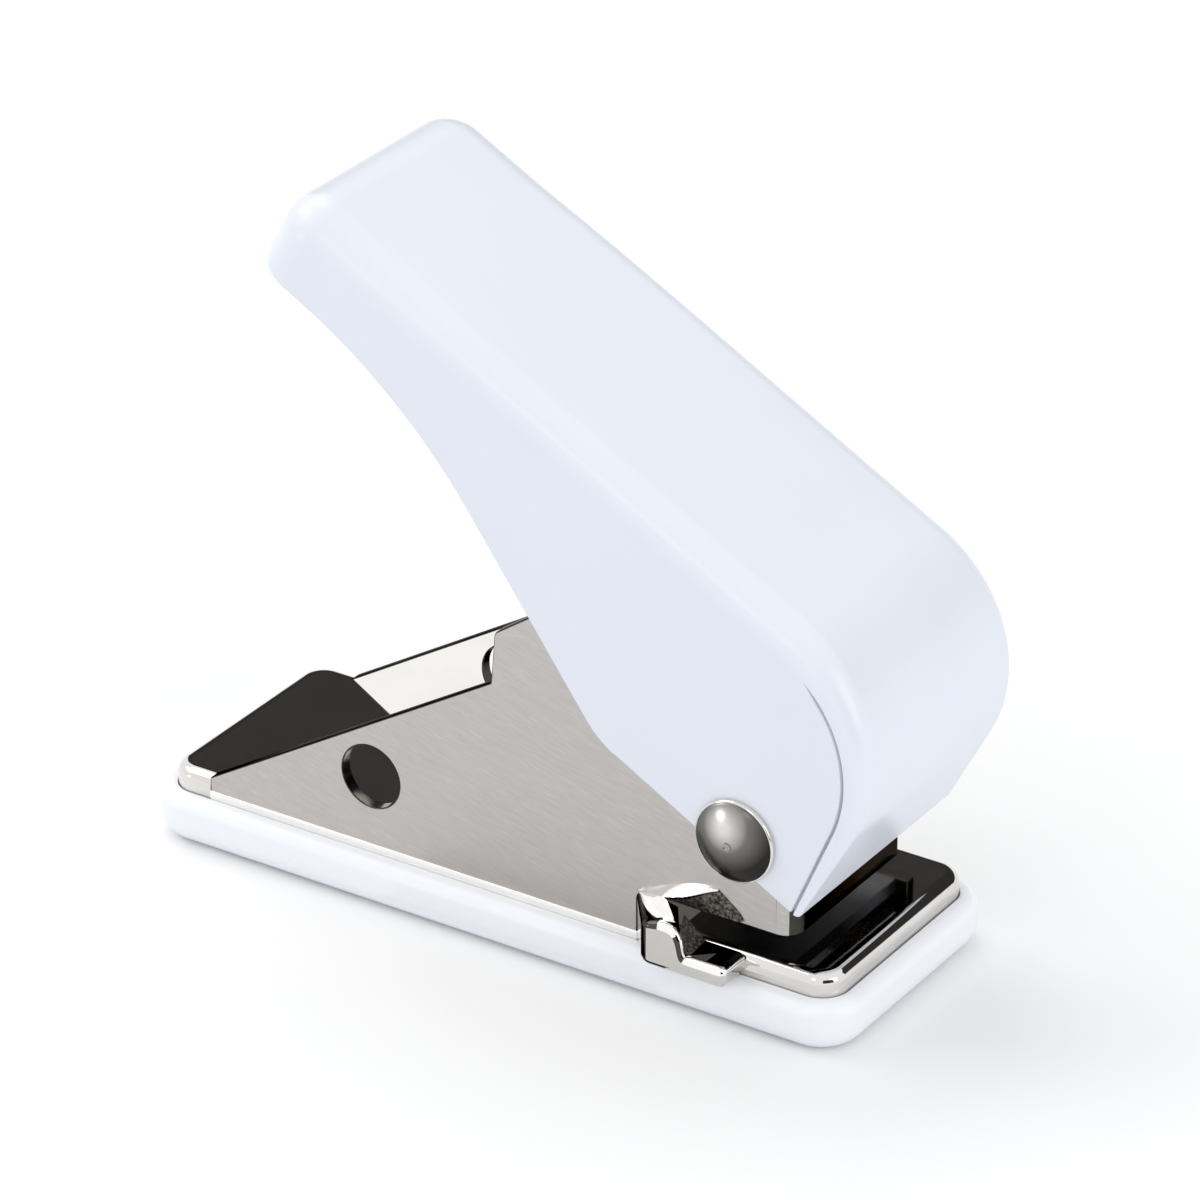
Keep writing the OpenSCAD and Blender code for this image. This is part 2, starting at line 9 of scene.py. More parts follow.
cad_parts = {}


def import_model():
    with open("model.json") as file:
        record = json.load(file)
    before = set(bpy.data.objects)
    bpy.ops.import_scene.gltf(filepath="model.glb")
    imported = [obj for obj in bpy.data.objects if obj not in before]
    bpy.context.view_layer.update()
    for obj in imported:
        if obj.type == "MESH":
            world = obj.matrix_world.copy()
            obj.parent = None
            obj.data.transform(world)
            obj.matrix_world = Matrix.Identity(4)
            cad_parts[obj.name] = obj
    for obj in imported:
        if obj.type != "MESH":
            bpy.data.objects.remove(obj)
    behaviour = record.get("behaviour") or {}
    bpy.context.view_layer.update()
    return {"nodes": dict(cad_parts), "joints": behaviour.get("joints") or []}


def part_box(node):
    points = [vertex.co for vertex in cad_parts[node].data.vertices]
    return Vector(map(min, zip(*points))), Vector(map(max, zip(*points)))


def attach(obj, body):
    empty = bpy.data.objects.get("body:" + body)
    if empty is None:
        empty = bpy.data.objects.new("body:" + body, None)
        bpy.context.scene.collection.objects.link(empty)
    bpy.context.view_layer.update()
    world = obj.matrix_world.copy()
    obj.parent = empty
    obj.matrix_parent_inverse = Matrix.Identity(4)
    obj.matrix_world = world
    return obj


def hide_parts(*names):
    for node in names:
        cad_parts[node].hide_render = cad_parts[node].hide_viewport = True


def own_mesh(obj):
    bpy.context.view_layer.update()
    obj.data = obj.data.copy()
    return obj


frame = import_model()

# Lengths below are in millimetres; MM turns them into the scene's metres
MM = 0.001


def span(node):
    """Lowest and highest corner of a node, in millimetres."""
    low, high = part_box(node)
    return low / MM, high / MM


# Places read from the frame
cover_low, cover_high = span("base_cover")
deck_low, deck_high = span("deck")
near_low, near_high = span("near_wall")
far_low, far_high = span("far_wall")
guide_low, guide_high = span("flight_guide")
handle_low, handle_high = span("handle")
spring_low, spring_high = span("return_spring")
rivet_low, rivet_high = span("pivot_rivet")
pivot = Vector(frame["joints"][0]["pos_m"]) / MM
deck_z = deck_high.z
near_y = near_low.y
tab_front_x = near_high.x
crest_z = near_high.z
toe_x = near_low.x
throat_x = guide_low.x
punch_x = (spring_low.x + spring_high.x) / 2
handle_w = handle_high.y - handle_low.y

# Sheet metal of the deck and walls
SHEET_T = 1.5
DECK_CORNER_R = 3.2
DECK_EDGE_R = 1.3
DIE_R = 2.05
EDGE_BREAK = 0.14
BREAK_MID = 0.3 * EDGE_BREAK
FOOT_BAND_H = 0.9
FOOT_BAND_LAP = 0.5
WALL_SLOPE = math.radians(31.4)
STEP_RUN = 37.8
STEP_H = 6.2
STEP_LEAN = 0.5
SHOULDER_SLOPE = math.radians(35)
CREST_L = 10.0
WALL_BROW = 6.0
BROW_R = 3
CREST_FRONT_R = 6
CREST_REAR_R = 4
STEP_TOP_R = 1
STEP_FOOT_R = 0.4
BEND_R = 2.2
TAB_REACH = 21.5
TAB_H = 9.5
TETHER_RUN = 21.9
TETHER_H = 6.8
TETHER_R = 3.8
THROAT_H = 3.5
THROAT_R = 1.2
jaw_z = deck_z + THROAT_H
wall_front_x = tab_front_x - BEND_R
step_x = toe_x + STEP_RUN
step_z = deck_z + STEP_RUN * math.tan(WALL_SLOPE)
crest_x = step_x + STEP_LEAN + (crest_z - step_z - STEP_H) / math.tan(SHOULDER_SLOPE)

# Base cover
COVER_WALL = 2.0
COVER_FLOOR = 1.4
COVER_EDGE_R = 1.6
COVER_FOOT_R = 3.0
COVER_LIP = 0.4

# Handle, in its own frame: u forward and v up from the pivot
HANDLE_T = 1.1
HANDLE_TAIL = 78.6
HANDLE_NOSE = 10.1
HANDLE_TOP = 26.0
HANDLE_DROP = 2.6
HANDLE_HEEL = 18.4
HEEL_R = 11.0
CHEEK_SLOPE = math.radians(25.5)
TAIL_DEPTH = 10.2
TAIL_LIP_R = 2.0
TAIL_CORNER_R = 5.0
TAIL_BLOCK = 14.0
SWEEP_R = 66.0
NOSE_R = 17.3
TAIL_BEND_R = 4.4
TOP_BEND_R = 3.6
NOSE_BEND_R = 1.75
LIP_BEND_R = 0.6
SEAM_W = 0.4
SEAM_DEPTH = 0.85
SEAM_LIP_R = 0.2
SEAM_START = 7
SEAM_RUN = 5
HEM_R = 0.3
BEND_FADE = 2.5
TOP_STEPS = 40
NOSE_STEPS = 40
DROP_STEPS = 12
OPEN_ANGLE = math.radians(28.7)
PIVOT_HOLE_R = 2.55

# Rivet heads
HEAD_EDGE_H = 0.45
HEAD_H = 1.9
HEAD_SOFT_R = 0.25
HEAD_SOFT_DROP = 0.9
HEAD_FOOT = 0.12
HEAD_GAP = 0.05
DIMPLE_R = 0.7
DIMPLE_H = 0.25
SHANK_R = 2.5
POST_R = 1.3
POST_END = 1
DIMPLE_STEPS = 6
DOME_STEPS = 20
EDGE_STEPS = 6

# Return spring
WIRE_R = 0.3
SPRING_TURNS = 3.5

# How far the middle of a quarter round stands in from its corner, as a share of the radius
ROUND_MID = 0.29


def unit(v):
    return v / v.length


def arc_corner(before, at, after, radius, steps):
    """Points of an outline's corner, rounded to radius."""
    back = unit(before - at)
    ahead = unit(after - at)
    half = math.acos(max(-1.0, min(1.0, back.dot(ahead)))) / 2
    centre = at + unit(back + ahead) * radius / math.sin(half)
    first = at + back * radius / math.tan(half) - centre
    last = at + ahead * radius / math.tan(half) - centre
    start = math.atan2(first.y, first.x)
    sweep = math.atan2(last.y, last.x) - start
    sweep -= 2 * math.pi * round(sweep / (2 * math.pi))
    angles = [start + sweep * i / steps for i in range(steps + 1)]
    return [centre + radius * Vector((math.cos(a), math.sin(a))) for a in angles]


def outline(corners, steps=10):
    """Closed outline through corners (x, y, radius)."""
    points = []
    for i, (x, y, radius) in enumerate(corners):
        at = Vector((x, y))
        before = Vector(corners[i - 1][:2])
        after = Vector(corners[(i + 1) % len(corners)][:2])
        points += arc_corner(before, at, after, radius, steps) if radius > 0 else [at]
    return points


def circle(x, y, radius, steps=48):
    """Clockwise circle, as a hole in an outline."""
    angles = [2 * math.pi * i / steps for i in range(steps)]
    return [Vector((x + radius * math.cos(a), y - radius * math.sin(a))) for a in angles]


def anticlockwise(points):
    area = sum(a.x * b.y - b.x * a.y for a, b in zip(points, points[1:] + points[:1]))
    return points if area > 0 else points[::-1]


def inset(points, distance, closed=True):
    """The outline moved to its left by distance."""
    moved = []
    count = len(points)
    for i, p in enumerate(points):
        before = points[i - 1] if closed or i > 0 else p
        after = points[(i + 1) % count] if closed or i < count - 1 else p
        a = unit(p - before) if (p - before).length > 1e-9 else unit(after - p)
        b = unit(after - p) if (after - p).length > 1e-9 else a
        left = unit(Vector((-a.y - b.y, a.x + b.x)))
        lean = max(0.5, left.dot(Vector((-a.y, a.x))))
        moved.append(p + left * distance / lean)
    return moved


class Shell:
    """Vertices and faces of one piece, in millimetres."""

    def __init__(self):
        self.points = []
        self.faces = []
        self.finish = []

    def row(self, points):
        start = len(self.points)
        self.points += [Vector(p) for p in points]
        return list(range(start, start + len(points)))

    def face(self, corners, finish=0):
        self.faces.append(tuple(corners))
        self.finish.append(finish)

    def strip(self, a, b, closed=True, finish=0):
        """Quads between two rows of the same length."""
        count = len(a)
        for i in range(count if closed else count - 1):
            j = (i + 1) % count
            self.face((a[i], a[j], b[j], b[i]), finish)

    def cap(self, rows, finish=0):
        """Fills flat loops of vertices, the later ones as holes."""
        flat = [i for row in rows for i in row]
        for triangle in tessellate_polygon([[self.points[i] for i in row] for row in rows]):
            self.face([flat[i] for i in triangle], finish)

    def build(self, name, materials, sharp=35):
        mesh = bpy.data.meshes.new(name)
        mesh.from_pydata([p * MM for p in self.points], [], self.faces)
        for material in materials:
            mesh.materials.append(material)
        mesh.polygons.foreach_set("material_index", self.finish)
        bm = bmesh.new()
        bm.from_mesh(mesh)
        bmesh.ops.remove_doubles(bm, verts=bm.verts, dist=1e-7)
        bmesh.ops.dissolve_degenerate(bm, edges=bm.edges, dist=1e-7)
        bmesh.ops.recalc_face_normals(bm, faces=bm.faces)
        bm.to_mesh(mesh)
        bm.free()
        mesh.shade_smooth()
        mesh.set_sharp_from_angle(angle=math.radians(sharp))
        piece = bpy.data.objects.new(name, mesh)
        bpy.context.scene.collection.objects.link(piece)
        weighted = piece.modifiers.new("even_normals", "WEIGHTED_NORMAL")
        weighted.keep_sharp = True
        weighted.weight = 100
        return piece


def place(piece, body, slot, *nodes):
    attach(piece, body)
    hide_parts(*nodes)
    return piece


# Materials


def new_material(name):
    material = bpy.data.materials.new(name)
    material.use_nodes = True
    nodes = material.node_tree.nodes
    return material, nodes, material.node_tree.links, nodes["Principled BSDF"]


def noise(nodes, links, scale, stretch=(1, 1, 1), turn=(0, 0, 0), detail=3.0, roughness=0.5):
    """Noise in the object's own metres, stretched and turned."""
    where = nodes.new("ShaderNodeTexCoord")
    mapping = nodes.new("ShaderNodeMapping")
    mapping.vector_type = "TEXTURE"
    mapping.inputs["Rotation"].default_value = turn
    mapping.inputs["Scale"].default_value = stretch
    texture = nodes.new("ShaderNodeTexNoise")
    texture.inputs["Scale"].default_value = scale
    texture.inputs["Detail"].default_value = detail
    texture.inputs["Roughness"].default_value = roughness
    links.new(where.outputs["Object"], mapping.inputs["Vector"])
    links.new(mapping.outputs["Vector"], texture.inputs["Vector"])
    return texture.outputs["Fac"]


def between(nodes, links, factor, low, high, start=0.3, end=0.7):
    """Number that runs from low to high as factor runs from start to end."""
    spread = nodes.new("ShaderNodeMapRange")
    spread.inputs["From Min"].default_value = start
    spread.inputs["From Max"].default_value = end
    spread.inputs["To Min"].default_value = low
    spread.inputs["To Max"].default_value = high
    links.new(factor, spread.inputs["Value"])
    return spread.outputs["Result"]


def shade(nodes, links, factor, dark, light, start=0.3, end=0.7):
    """Colour that runs from dark to light as factor runs from start to end."""
    ramp = nodes.new("ShaderNodeValToRGB")
    ramp.color_ramp.elements[0].position = start
    ramp.color_ramp.elements[0].color = (*dark, 1)
    ramp.color_ramp.elements[1].position = end
    ramp.color_ramp.elements[1].color = (*light, 1)
    links.new(factor, ramp.inputs["Fac"])
    return ramp.outputs["Color"]


def bump(nodes, links, height, depth_mm, strength):
    """Bump of a depth in millimetres."""
    node = nodes.new("ShaderNodeBump")
    node.inputs["Strength"].default_value = strength
    node.inputs["Distance"].default_value = depth_mm * MM
    links.new(height, node.inputs["Height"])
    return node.outputs["Normal"]


def dress(links, shader, tone, roughness, normal, metal=0):
    """Joins a colour, a roughness and a bump to a shader."""
    links.new(tone, shader.inputs["Base Color"])
    links.new(roughness, shader.inputs["Roughness"])
    links.new(normal, shader.inputs["Normal"])
    shader.inputs["Metallic"].default_value = metal


def white_enamel():
    material, nodes, links, shader = new_material("white_enamel")
    cloud = noise(nodes, links, 60, detail=2)
    peel = noise(nodes, links, 700, detail=2)
    tone = shade(nodes, links, cloud, (0.801, 0.822, 0.884), (0.83, 0.849, 0.908), 0.15, 0.85)
    dull = between(nodes, links, cloud, 0.3, 0.38, 0.15, 0.85)
    dress(links, shader, tone, dull, bump(nodes, links, peel, 0.04, 0.12))
    shader.inputs["Coat Weight"].default_value = 0.15
    shader.inputs["Coat Roughness"].default_value = 0.22
    return material


def white_plastic():
    material, nodes, links, shader = new_material("white_plastic")
    cloud = noise(nodes, links, 45, detail=3)
    grain = noise(nodes, links, 1500, detail=2)
    tone = shade(nodes, links, cloud, (0.945, 0.953, 0.978), (0.965, 0.972, 0.99), 0.15, 0.85)
    dull = between(nodes, links, cloud, 0.24, 0.34, 0.15, 0.85)
    dress(links, shader, tone, dull, bump(nodes, links, grain, 0.02, 0.15))
    return material


# The walls' brush lines fall towards the mouth
BRUSH_TURN = math.radians(14.5)


def brushed_nickel():
    material, nodes, links, shader = new_material("brushed_nickel")
    turn = (0, BRUSH_TURN, 0)
    hair = noise(nodes, links, 1, (0.001, 0.001, 0.0001), turn, detail=3, roughness=0.6)
    streak = noise(nodes, links, 1, (0.0022, 0.0022, 0.00024), turn, detail=3)
    cloud = noise(nodes, links, 40, detail=2)
    scratch = noise(nodes, links, 1, (0.0028, 0.0028, 0.00018), turn, detail=1)
    tone = shade(nodes, links, streak, (0.48, 0.46, 0.446), (0.53, 0.508, 0.493))
    hairline = shade(nodes, links, scratch, (1, 1, 1), (1.14, 1.14, 1.14), 0.68, 0.74)
    mix = nodes.new("ShaderNodeMix")
    mix.data_type = "RGBA"
    mix.blend_type = "MULTIPLY"
    mix.inputs["Factor"].default_value = 1
    links.new(tone, mix.inputs["A"])
    links.new(hairline, mix.inputs["B"])
    dull = between(nodes, links, cloud, 0.3, 0.38)
    dress(links, shader, mix.outputs["Result"], dull, bump(nodes, links, hair, 0.02, 0.4), metal=1)
    return material


def bright_nickel(name, dark, light, wave_strength, smooth=0.03, dull=0.085, glance=1):
    """Bright plating with a slight wave and haze; glance below 1 keeps it dark at a low angle."""
    material, nodes, links, shader = new_material(name)
    wave = noise(nodes, links, 170, detail=1)
    haze = noise(nodes, links, 90, detail=4)
    tone = shade(nodes, links, haze, dark, light)
    roughness = between(nodes, links, haze, smooth, dull)
    dress(links, shader, tone, roughness, bump(nodes, links, wave, 0.12, wave_strength), metal=1)
    shader.inputs["Specular Tint"].default_value = (glance, glance, glance, 1)
    return material


def paint_shade_by_distance(material, point, keep, start, end, tone):
    """Paints shade on a plating, turning it to tone as the distance in millimetres from a point goes
    from start to end.

    Only the axes on which keep is 1 count.
    """
    nodes, links = material.node_tree.nodes, material.node_tree.links
    shader = nodes["Principled BSDF"]
    where = nodes.new("ShaderNodeTexCoord")
    offset = nodes.new("ShaderNodeMapping")
    offset.inputs["Location"].default_value = [-a * k * MM for a, k in zip(point, keep)]
    offset.inputs["Scale"].default_value = keep
    away = nodes.new("ShaderNodeVectorMath")
    away.operation = "LENGTH"
    mix = nodes.new("ShaderNodeMix")
    mix.data_type = "RGBA"
    mix.inputs["B"].default_value = (*tone, 1)
    links.new(where.outputs["Object"], offset.inputs["Vector"])
    links.new(offset.outputs["Vector"], away.inputs[0])
    amount = between(nodes, links, away.outputs["Value"], 0, 1, start * MM, end * MM)
    links.new(amount, mix.inputs["Factor"])
    links.new(shader.inputs["Base Color"].links[0].from_socket, mix.inputs["A"])
    links.new(mix.outputs["Result"], shader.inputs["Base Color"])


def cast_nickel():
    """Plated casting left rough, inside the guide."""
    material, nodes, links, shader = new_material("cast_nickel")
    grit = noise(nodes, links, 2600, detail=4, roughness=0.7)
    tone = shade(nodes, links, grit, (0.02, 0.018, 0.015), (0.3, 0.28, 0.25), 0.42, 0.66)
    dull = between(nodes, links, grit, 0.35, 0.6)
    dress(links, shader, tone, dull, bump(nodes, links, grit, 0.18, 0.8), metal=1)
    return material


def plain_steel(name, dark, light):
    material, nodes, links, shader = new_material(name)
    cloud = noise(nodes, links, 120, detail=4)
    grain = noise(nodes, links, 1800, (1, 1, 0.25), detail=3)
    tone = shade(nodes, links, cloud, dark, light)
    dull = between(nodes, links, cloud, 0.28, 0.45)
    dress(links, shader, tone, dull, bump(nodes, links, grain, 0.03, 0.3), metal=1)
    return material


enamel = white_enamel()
plastic = white_plastic()
brushed = brushed_nickel()
mirror = bright_nickel("mirror_nickel", (0.72, 0.695, 0.665), (0.8, 0.78, 0.755), 0.1)
cream = bright_nickel("polished_nickel", (0.92, 0.91, 0.89), (0.97, 0.965, 0.95), 0.08)
inside = bright_nickel("inside_nickel", (0.92, 0.91, 0.89), (0.97, 0.965, 0.95), 0.06)
# Painted shade: the inner faces turn dark within 36 mm of the pivot along x, under the handle, and stay
# bright beyond 44 mm
paint_shade_by_distance(inside, pivot, (1, 0, 0), 44, 36, (0.1, 0.092, 0.08))
plated = bright_nickel("plated_nickel", (0.55, 0.535, 0.51), (0.66, 0.64, 0.615), 0.16)
satin = bright_nickel("satin_nickel", (0.2, 0.182, 0.16), (0.3, 0.276, 0.246), 0.1, 0.12, 0.2)
button = bright_nickel("button_nickel", (0.62, 0.605, 0.58), (0.72, 0.705, 0.68), 0.16, 0.2, 0.3)
# The rivets' heads carry a painted highlight just above the pivot and darken outward to painted shade
# round the edge
highlight_point = pivot + Vector((-0.6, 0, 2))
paint_shade_by_distance(button, highlight_point, (1, 0, 1), 0.6, 2.8, (0.2, 0.193, 0.183))
paint_shade_by_distance(button, highlight_point, (1, 0, 1), 2.4, 5.2, (0.03, 0.028, 0.026))
# Nearly black nickel that paints shade and dark reflections on cut edges, the tab past its bend and the
# guide's hollows and bands
painted_shade_nickel = bright_nickel("painted_shade_nickel", (0.05, 0.046, 0.042), (0.09, 0.084, 0.078), 0.3, glance=0.08)
cast = cast_nickel()
steel = plain_steel("pressed_steel", (0.05, 0.05, 0.053), (0.1, 0.1, 0.104))
tool_steel = plain_steel("tool_steel", (0.22, 0.22, 0.235), (0.36, 0.36, 0.375))
wire_steel = plain_steel("spring_wire_steel", (0.25, 0.25, 0.26), (0.42, 0.42, 0.43))


# Base cover and deck: sections carried round a rounded rectangle


def rounded_ring(length, width, radius, inward, z, steps=12):
    """Ring of a rounded rectangle moved inward, at height z."""
    ring = []
    for quarter, (sx, sy) in enumerate(((1, 1), (-1, 1), (-1, -1), (1, -1))):
        for i in range(steps + 1):
            angle = math.pi / 2 * (quarter + i / steps)
            reach = radius - inward
            ring.append((
                sx * (length / 2 - radius) + reach * math.cos(angle),
                sy * (width / 2 - radius) + reach * math.sin(angle),
                z,
            ))
    return ring


def fillet(inward, z, radius, first, last, steps=8):
    """Quarter round of a section about (inward, z), between two angles in degrees."""
    angles = [math.radians(first + (last - first) * i / steps) for i in range(steps + 1)]
    return [(inward - radius * math.cos(a), z + radius * math.sin(a)) for a in angles]


def base_boot():
    length = cover_high.x - cover_low.x
    width = cover_high.y - cover_low.y
    radius = DECK_CORNER_R + (width - (deck_high.y - deck_low.y)) / 2
    section = fillet(COVER_FOOT_R, COVER_FOOT_R, COVER_FOOT_R, -90, 0, 12)
    section += fillet(COVER_EDGE_R, cover_high.z - COVER_EDGE_R, COVER_EDGE_R, 0, 80, 10)
    lip_r = COVER_LIP / 2
    section += fillet(COVER_WALL - lip_r, cover_high.z - lip_r, lip_r, 100, 180, 4)
    section += [(COVER_WALL, COVER_FLOOR)]
    shell = Shell()
    rows = [shell.row(rounded_ring(length, width, radius, inward, z)) for inward, z in section]
    for a, b in zip(rows, rows[1:]):
        shell.strip(a, b)
    shell.cap([rows[0]])
    shell.cap([rows[-1]])
    place(shell.build("base_boot", [plastic]), "base", "white_plastic", "base_cover")


def end_ring(end, inward, z, steps=12):
    """Ring round one end of the deck, from its near side to its far side.

    end is 1 at the mouth and -1 at the rear.
    """
    reach = DECK_CORNER_R - inward
    side_x = throat_x if end > 0 else toe_x
    centre_x = deck_high.x - DECK_CORNER_R
    centre_y = deck_high.y - DECK_CORNER_R
    ring = [(side_x, -centre_y - reach, z)]
    for corner in (-1, 1):
        for i in range(steps + 1):
            angle = math.radians(90 * (i / steps + (corner - 1) / 2))
            x = end * (centre_x + reach * math.cos(angle))
            ring.append((x, corner * centre_y + reach * math.sin(angle), z))
    return ring + [(side_x, centre_y + reach, z)]


def deck_plate():
    """Plate with a rim turned down round its two ends, between the walls; its flat is polished."""
    section = [(SHEET_T, deck_z)]
    section += fillet(DECK_EDGE_R, deck_z - DECK_EDGE_R, DECK_EDGE_R, 90, 0)
    section += fillet(EDGE_BREAK, deck_low.z + EDGE_BREAK, EDGE_BREAK, 0, -90, 3)
    section += [(SHEET_T, deck_low.z), (SHEET_T, deck_z - SHEET_T)]
    shell = Shell()
    ends = []
    for end in (1, -1):
        rows = [shell.row(end_ring(end, inward, z)) for inward, z in section]
        for a, b in zip(rows, rows[1:]):
            shell.strip(a, b, False)
        shell.cap([[row[0] for row in rows]])
        shell.cap([[row[-1] for row in rows]])
        ends.append(rows)
    mouth, rear = ends
    for level, z in ((0, deck_z), (-1, deck_z - SHEET_T)):
        die = shell.row([(p.x, p.y, z) for p in circle(punch_x, 0, DIE_R)])
        shell.cap([mouth[level] + rear[level][::-1], die], 1)
    top_die = shell.row([(p.x, p.y, deck_z) for p in circle(punch_x, 0, DIE_R)])
    shell.strip(top_die, die)
    for side in (0, -1):
        shell.face((mouth[0][side], rear[0][side], rear[-1][side], mouth[-1][side]))
    place(shell.build("deck_plate", [mirror, cream]), "base", "mirror_nickel", "deck")


# Side walls

# Finishes of the walls, in the order of their materials
# PAINTED_DARK is the nearly black finish that paints shade and dark reflections on the cut edges and on
# the tab past its bend
OUTER, INNER, PAINTED_DARK, HOLE, BAND = range(5)
# Rounded upper edge of the foot band: distance out of the wall and height from the band's top
FOOT_BAND_EDGE = ((0, 0.05), (0.03, 0.03), (0.07, -0.07), (0.08, -0.2))


def wall_outline():
    return outline([
        (toe_x, near_low.z, 0),
        (throat_x, near_low.z, 0),
        (throat_x, jaw_z, THROAT_R),
        (wall_front_x, jaw_z, 0),
        (wall_front_x, pivot.z + WALL_BROW, BROW_R),
        (crest_x + CREST_L, crest_z, CREST_FRONT_R),
        (crest_x, crest_z, CREST_REAR_R),
        (step_x + STEP_LEAN, step_z + STEP_H, STEP_TOP_R),
        (step_x, step_z, STEP_FOOT_R),
        (toe_x, deck_z, 0),
    ])


def wall_plate(shell, outer_y, inner_y, plain_front):
    """Flat wall with broken edges; plain_front leaves its front edge for the tab."""
    loops = [
        anticlockwise(wall_outline()),
        circle(toe_x + TETHER_RUN, deck_z + TETHER_H, TETHER_R),
        circle(pivot.x, pivot.z, PIVOT_HOLE_R),
    ]
    inward = 1 if inner_y > outer_y else -1
    levels = [
        (EDGE_BREAK, outer_y),
        (BREAK_MID, outer_y + inward * BREAK_MID),
        (0, outer_y + inward * EDGE_BREAK),
        (0, inner_y - inward * EDGE_BREAK),
        (BREAK_MID, inner_y - inward * BREAK_MID),
        (EDGE_BREAK, inner_y),
    ]
    square_level = 2

    def keeps_edge(p):
        return plain_front and p.x > wall_front_x - EDGE_BREAK and p.y < jaw_z + TAB_H

    outer_rows, inner_rows = [], []
    for loop in loops:
        rows = []
        for depth, y in levels:
            moved = inset(loop, depth)
            rows.append(shell.row([
                (wall_front_x if keeps_edge(p) else q.x, y, q.y) for p, q in zip(loop, moved)
            ]))
        for level, (a, b) in enumerate(zip(rows, rows[1:])):
            in_hole = plain_front and loop is not loops[0] and level == square_level
            shell.strip(a, b, finish=HOLE if in_hole else PAINTED_DARK)
        outer_rows.append(rows[0])
        inner_rows.append(rows[-1])
    shell.cap(outer_rows, OUTER)
    shell.cap(inner_rows, INNER)


def front_tab(shell):
    """Sheet that runs on from the near wall round the bend and across the mouth."""
    steps = 12
    path = [(wall_front_x, near_y, 0)]
    centre = Vector((tab_front_x - BEND_R, near_y + BEND_R))
    for i in range(steps + 1):
        angle = math.radians(90 * i / steps)
        path.append((centre.x + BEND_R * math.sin(angle), centre.y - BEND_R * math.cos(angle), angle))
    path.append((tab_front_x, near_y + TAB_REACH - EDGE_BREAK, math.pi / 2))
    b = EDGE_BREAK
    low, high = jaw_z, jaw_z + TAB_H
    section = [
        (b, low), (0, low + b), (0, high - b), (b, high),
        (SHEET_T - b, high), (SHEET_T, high - b), (SHEET_T, low + b), (SHEET_T - b, low),
    ]
    rows = []
    for x, y, angle in path:
        sin, cos = math.sin(angle), math.cos(angle)
        rows.append(shell.row([(x - depth * sin, y + depth * cos, z) for depth, z in section]))
    end_y = near_y + TAB_REACH
    middle = Vector((SHEET_T / 2, (low + high) / 2))
    end = []
    for depth, z in section:
        pulled = Vector((depth, z)) + Vector((b if depth < middle.x else -b, b if z < middle.y else -b))
        end.append((tab_front_x - pulled.x, end_y, pulled.y))
    rows.append(shell.row(end))
    # Past the middle of its bend the tab is painted dark: painted shade and painted dark reflection
    for i, (r, s) in enumerate(zip(rows, rows[1:])):
        shell.strip(r, s, finish=OUTER if i < steps / 2 else PAINTED_DARK)
    shell.cap([rows[-1]], PAINTED_DARK)


def foot_band(shell):
    """Bright band where the near wall's foot is pressed out above the cover."""
    top = cover_high.z + FOOT_BAND_H
    low = cover_high.z - FOOT_BAND_LAP
    section = [(near_y - out, top + rise) for out, rise in FOOT_BAND_EDGE]
    section += [(section[-1][0], low), (near_y, low)]
    rows = []
    for x in (toe_x, throat_x):
        rows.append(shell.row([(x, y, z) for y, z in section]))
        shell.cap([rows[-1]], BAND)
    shell.strip(rows[0], rows[1], False, BAND)


def near_wall_plate():
    shell = Shell()
    wall_plate(shell, near_y, near_y + SHEET_T, True)
    front_tab(shell)
    foot_band(shell)
    piece = shell.build("near_wall_plate", [brushed, inside, painted_shade_nickel, satin, cream])
    place(piece, "base", "brushed_nickel", "near_wall")


def far_wall_plate():
    shell = Shell()
    wall_plate(shell, far_high.y, far_low.y, False)
    piece = shell.build("far_wall_plate", [brushed, inside, painted_shade_nickel])
    place(piece, "base", "brushed_nickel", "far_wall")


# Flight guide

# Finishes of the guide, in the order of its materials
# PAINTED_SHADE is the nearly black finish that paints shade and dark reflections on the guide
PLATED, ROUGH, POLISHED_HIGHLIGHT, PAINTED_SHADE = range(4)
GUIDE_FOOT_R = 0.9
GUIDE_SLANT = 3.4
GUIDE_REAR_R = 1.7
GUIDE_FRONT_R = 0.9
GUIDE_END = 1.5
FOOT_STEPS = 5
LIP_STEPS = 6
LEAF_STEPS = 24
# Places along the guide's side: end of the lip's painted shade, its front edge in painted shade, the
# eave and the shelf
SHADED_LIP_X = 24.1
SHADED_EDGE_X = (25.95, 27.3)
EAVE_X = 26.3
SHELF_X = 27
LEVEL_X = 28.5
# Ramp, from the throat's end, and the part of the lip that it meets
RAMP_TOP = 5.2
RAMP_FOOT = 8.7
RAMP_SLOPE = math.tan(math.radians(41))
RAMP_EDGE_X = (26.0, 28.2)
# Leaf's lower edge and the foot of the rough face under it
LEAF_X = 23.7
LEAF_RUN = 5.6
ROUGH_FOOT_X = 24.2
ROUGH_FOOT_RUN = 7.6
ROUGH_FOOT_OUT = (0.05, 0.1)
ROUGH_FOOT_H = 0.1
HOLLOW_OUT = 0.02
FALL_OUT = 0.04
LEAF_T = Vector((0.1, 0.18, -0.25))
LEAF_SWELL = Vector((0, -0.1, 0.12))
LENS_SWELL = Vector((0, -0.1, 0.14))
GROOVE_SINK = Vector((0, 0.25, -0.2))
SHADE_POINT = (23.7, -16.4, 13.5)
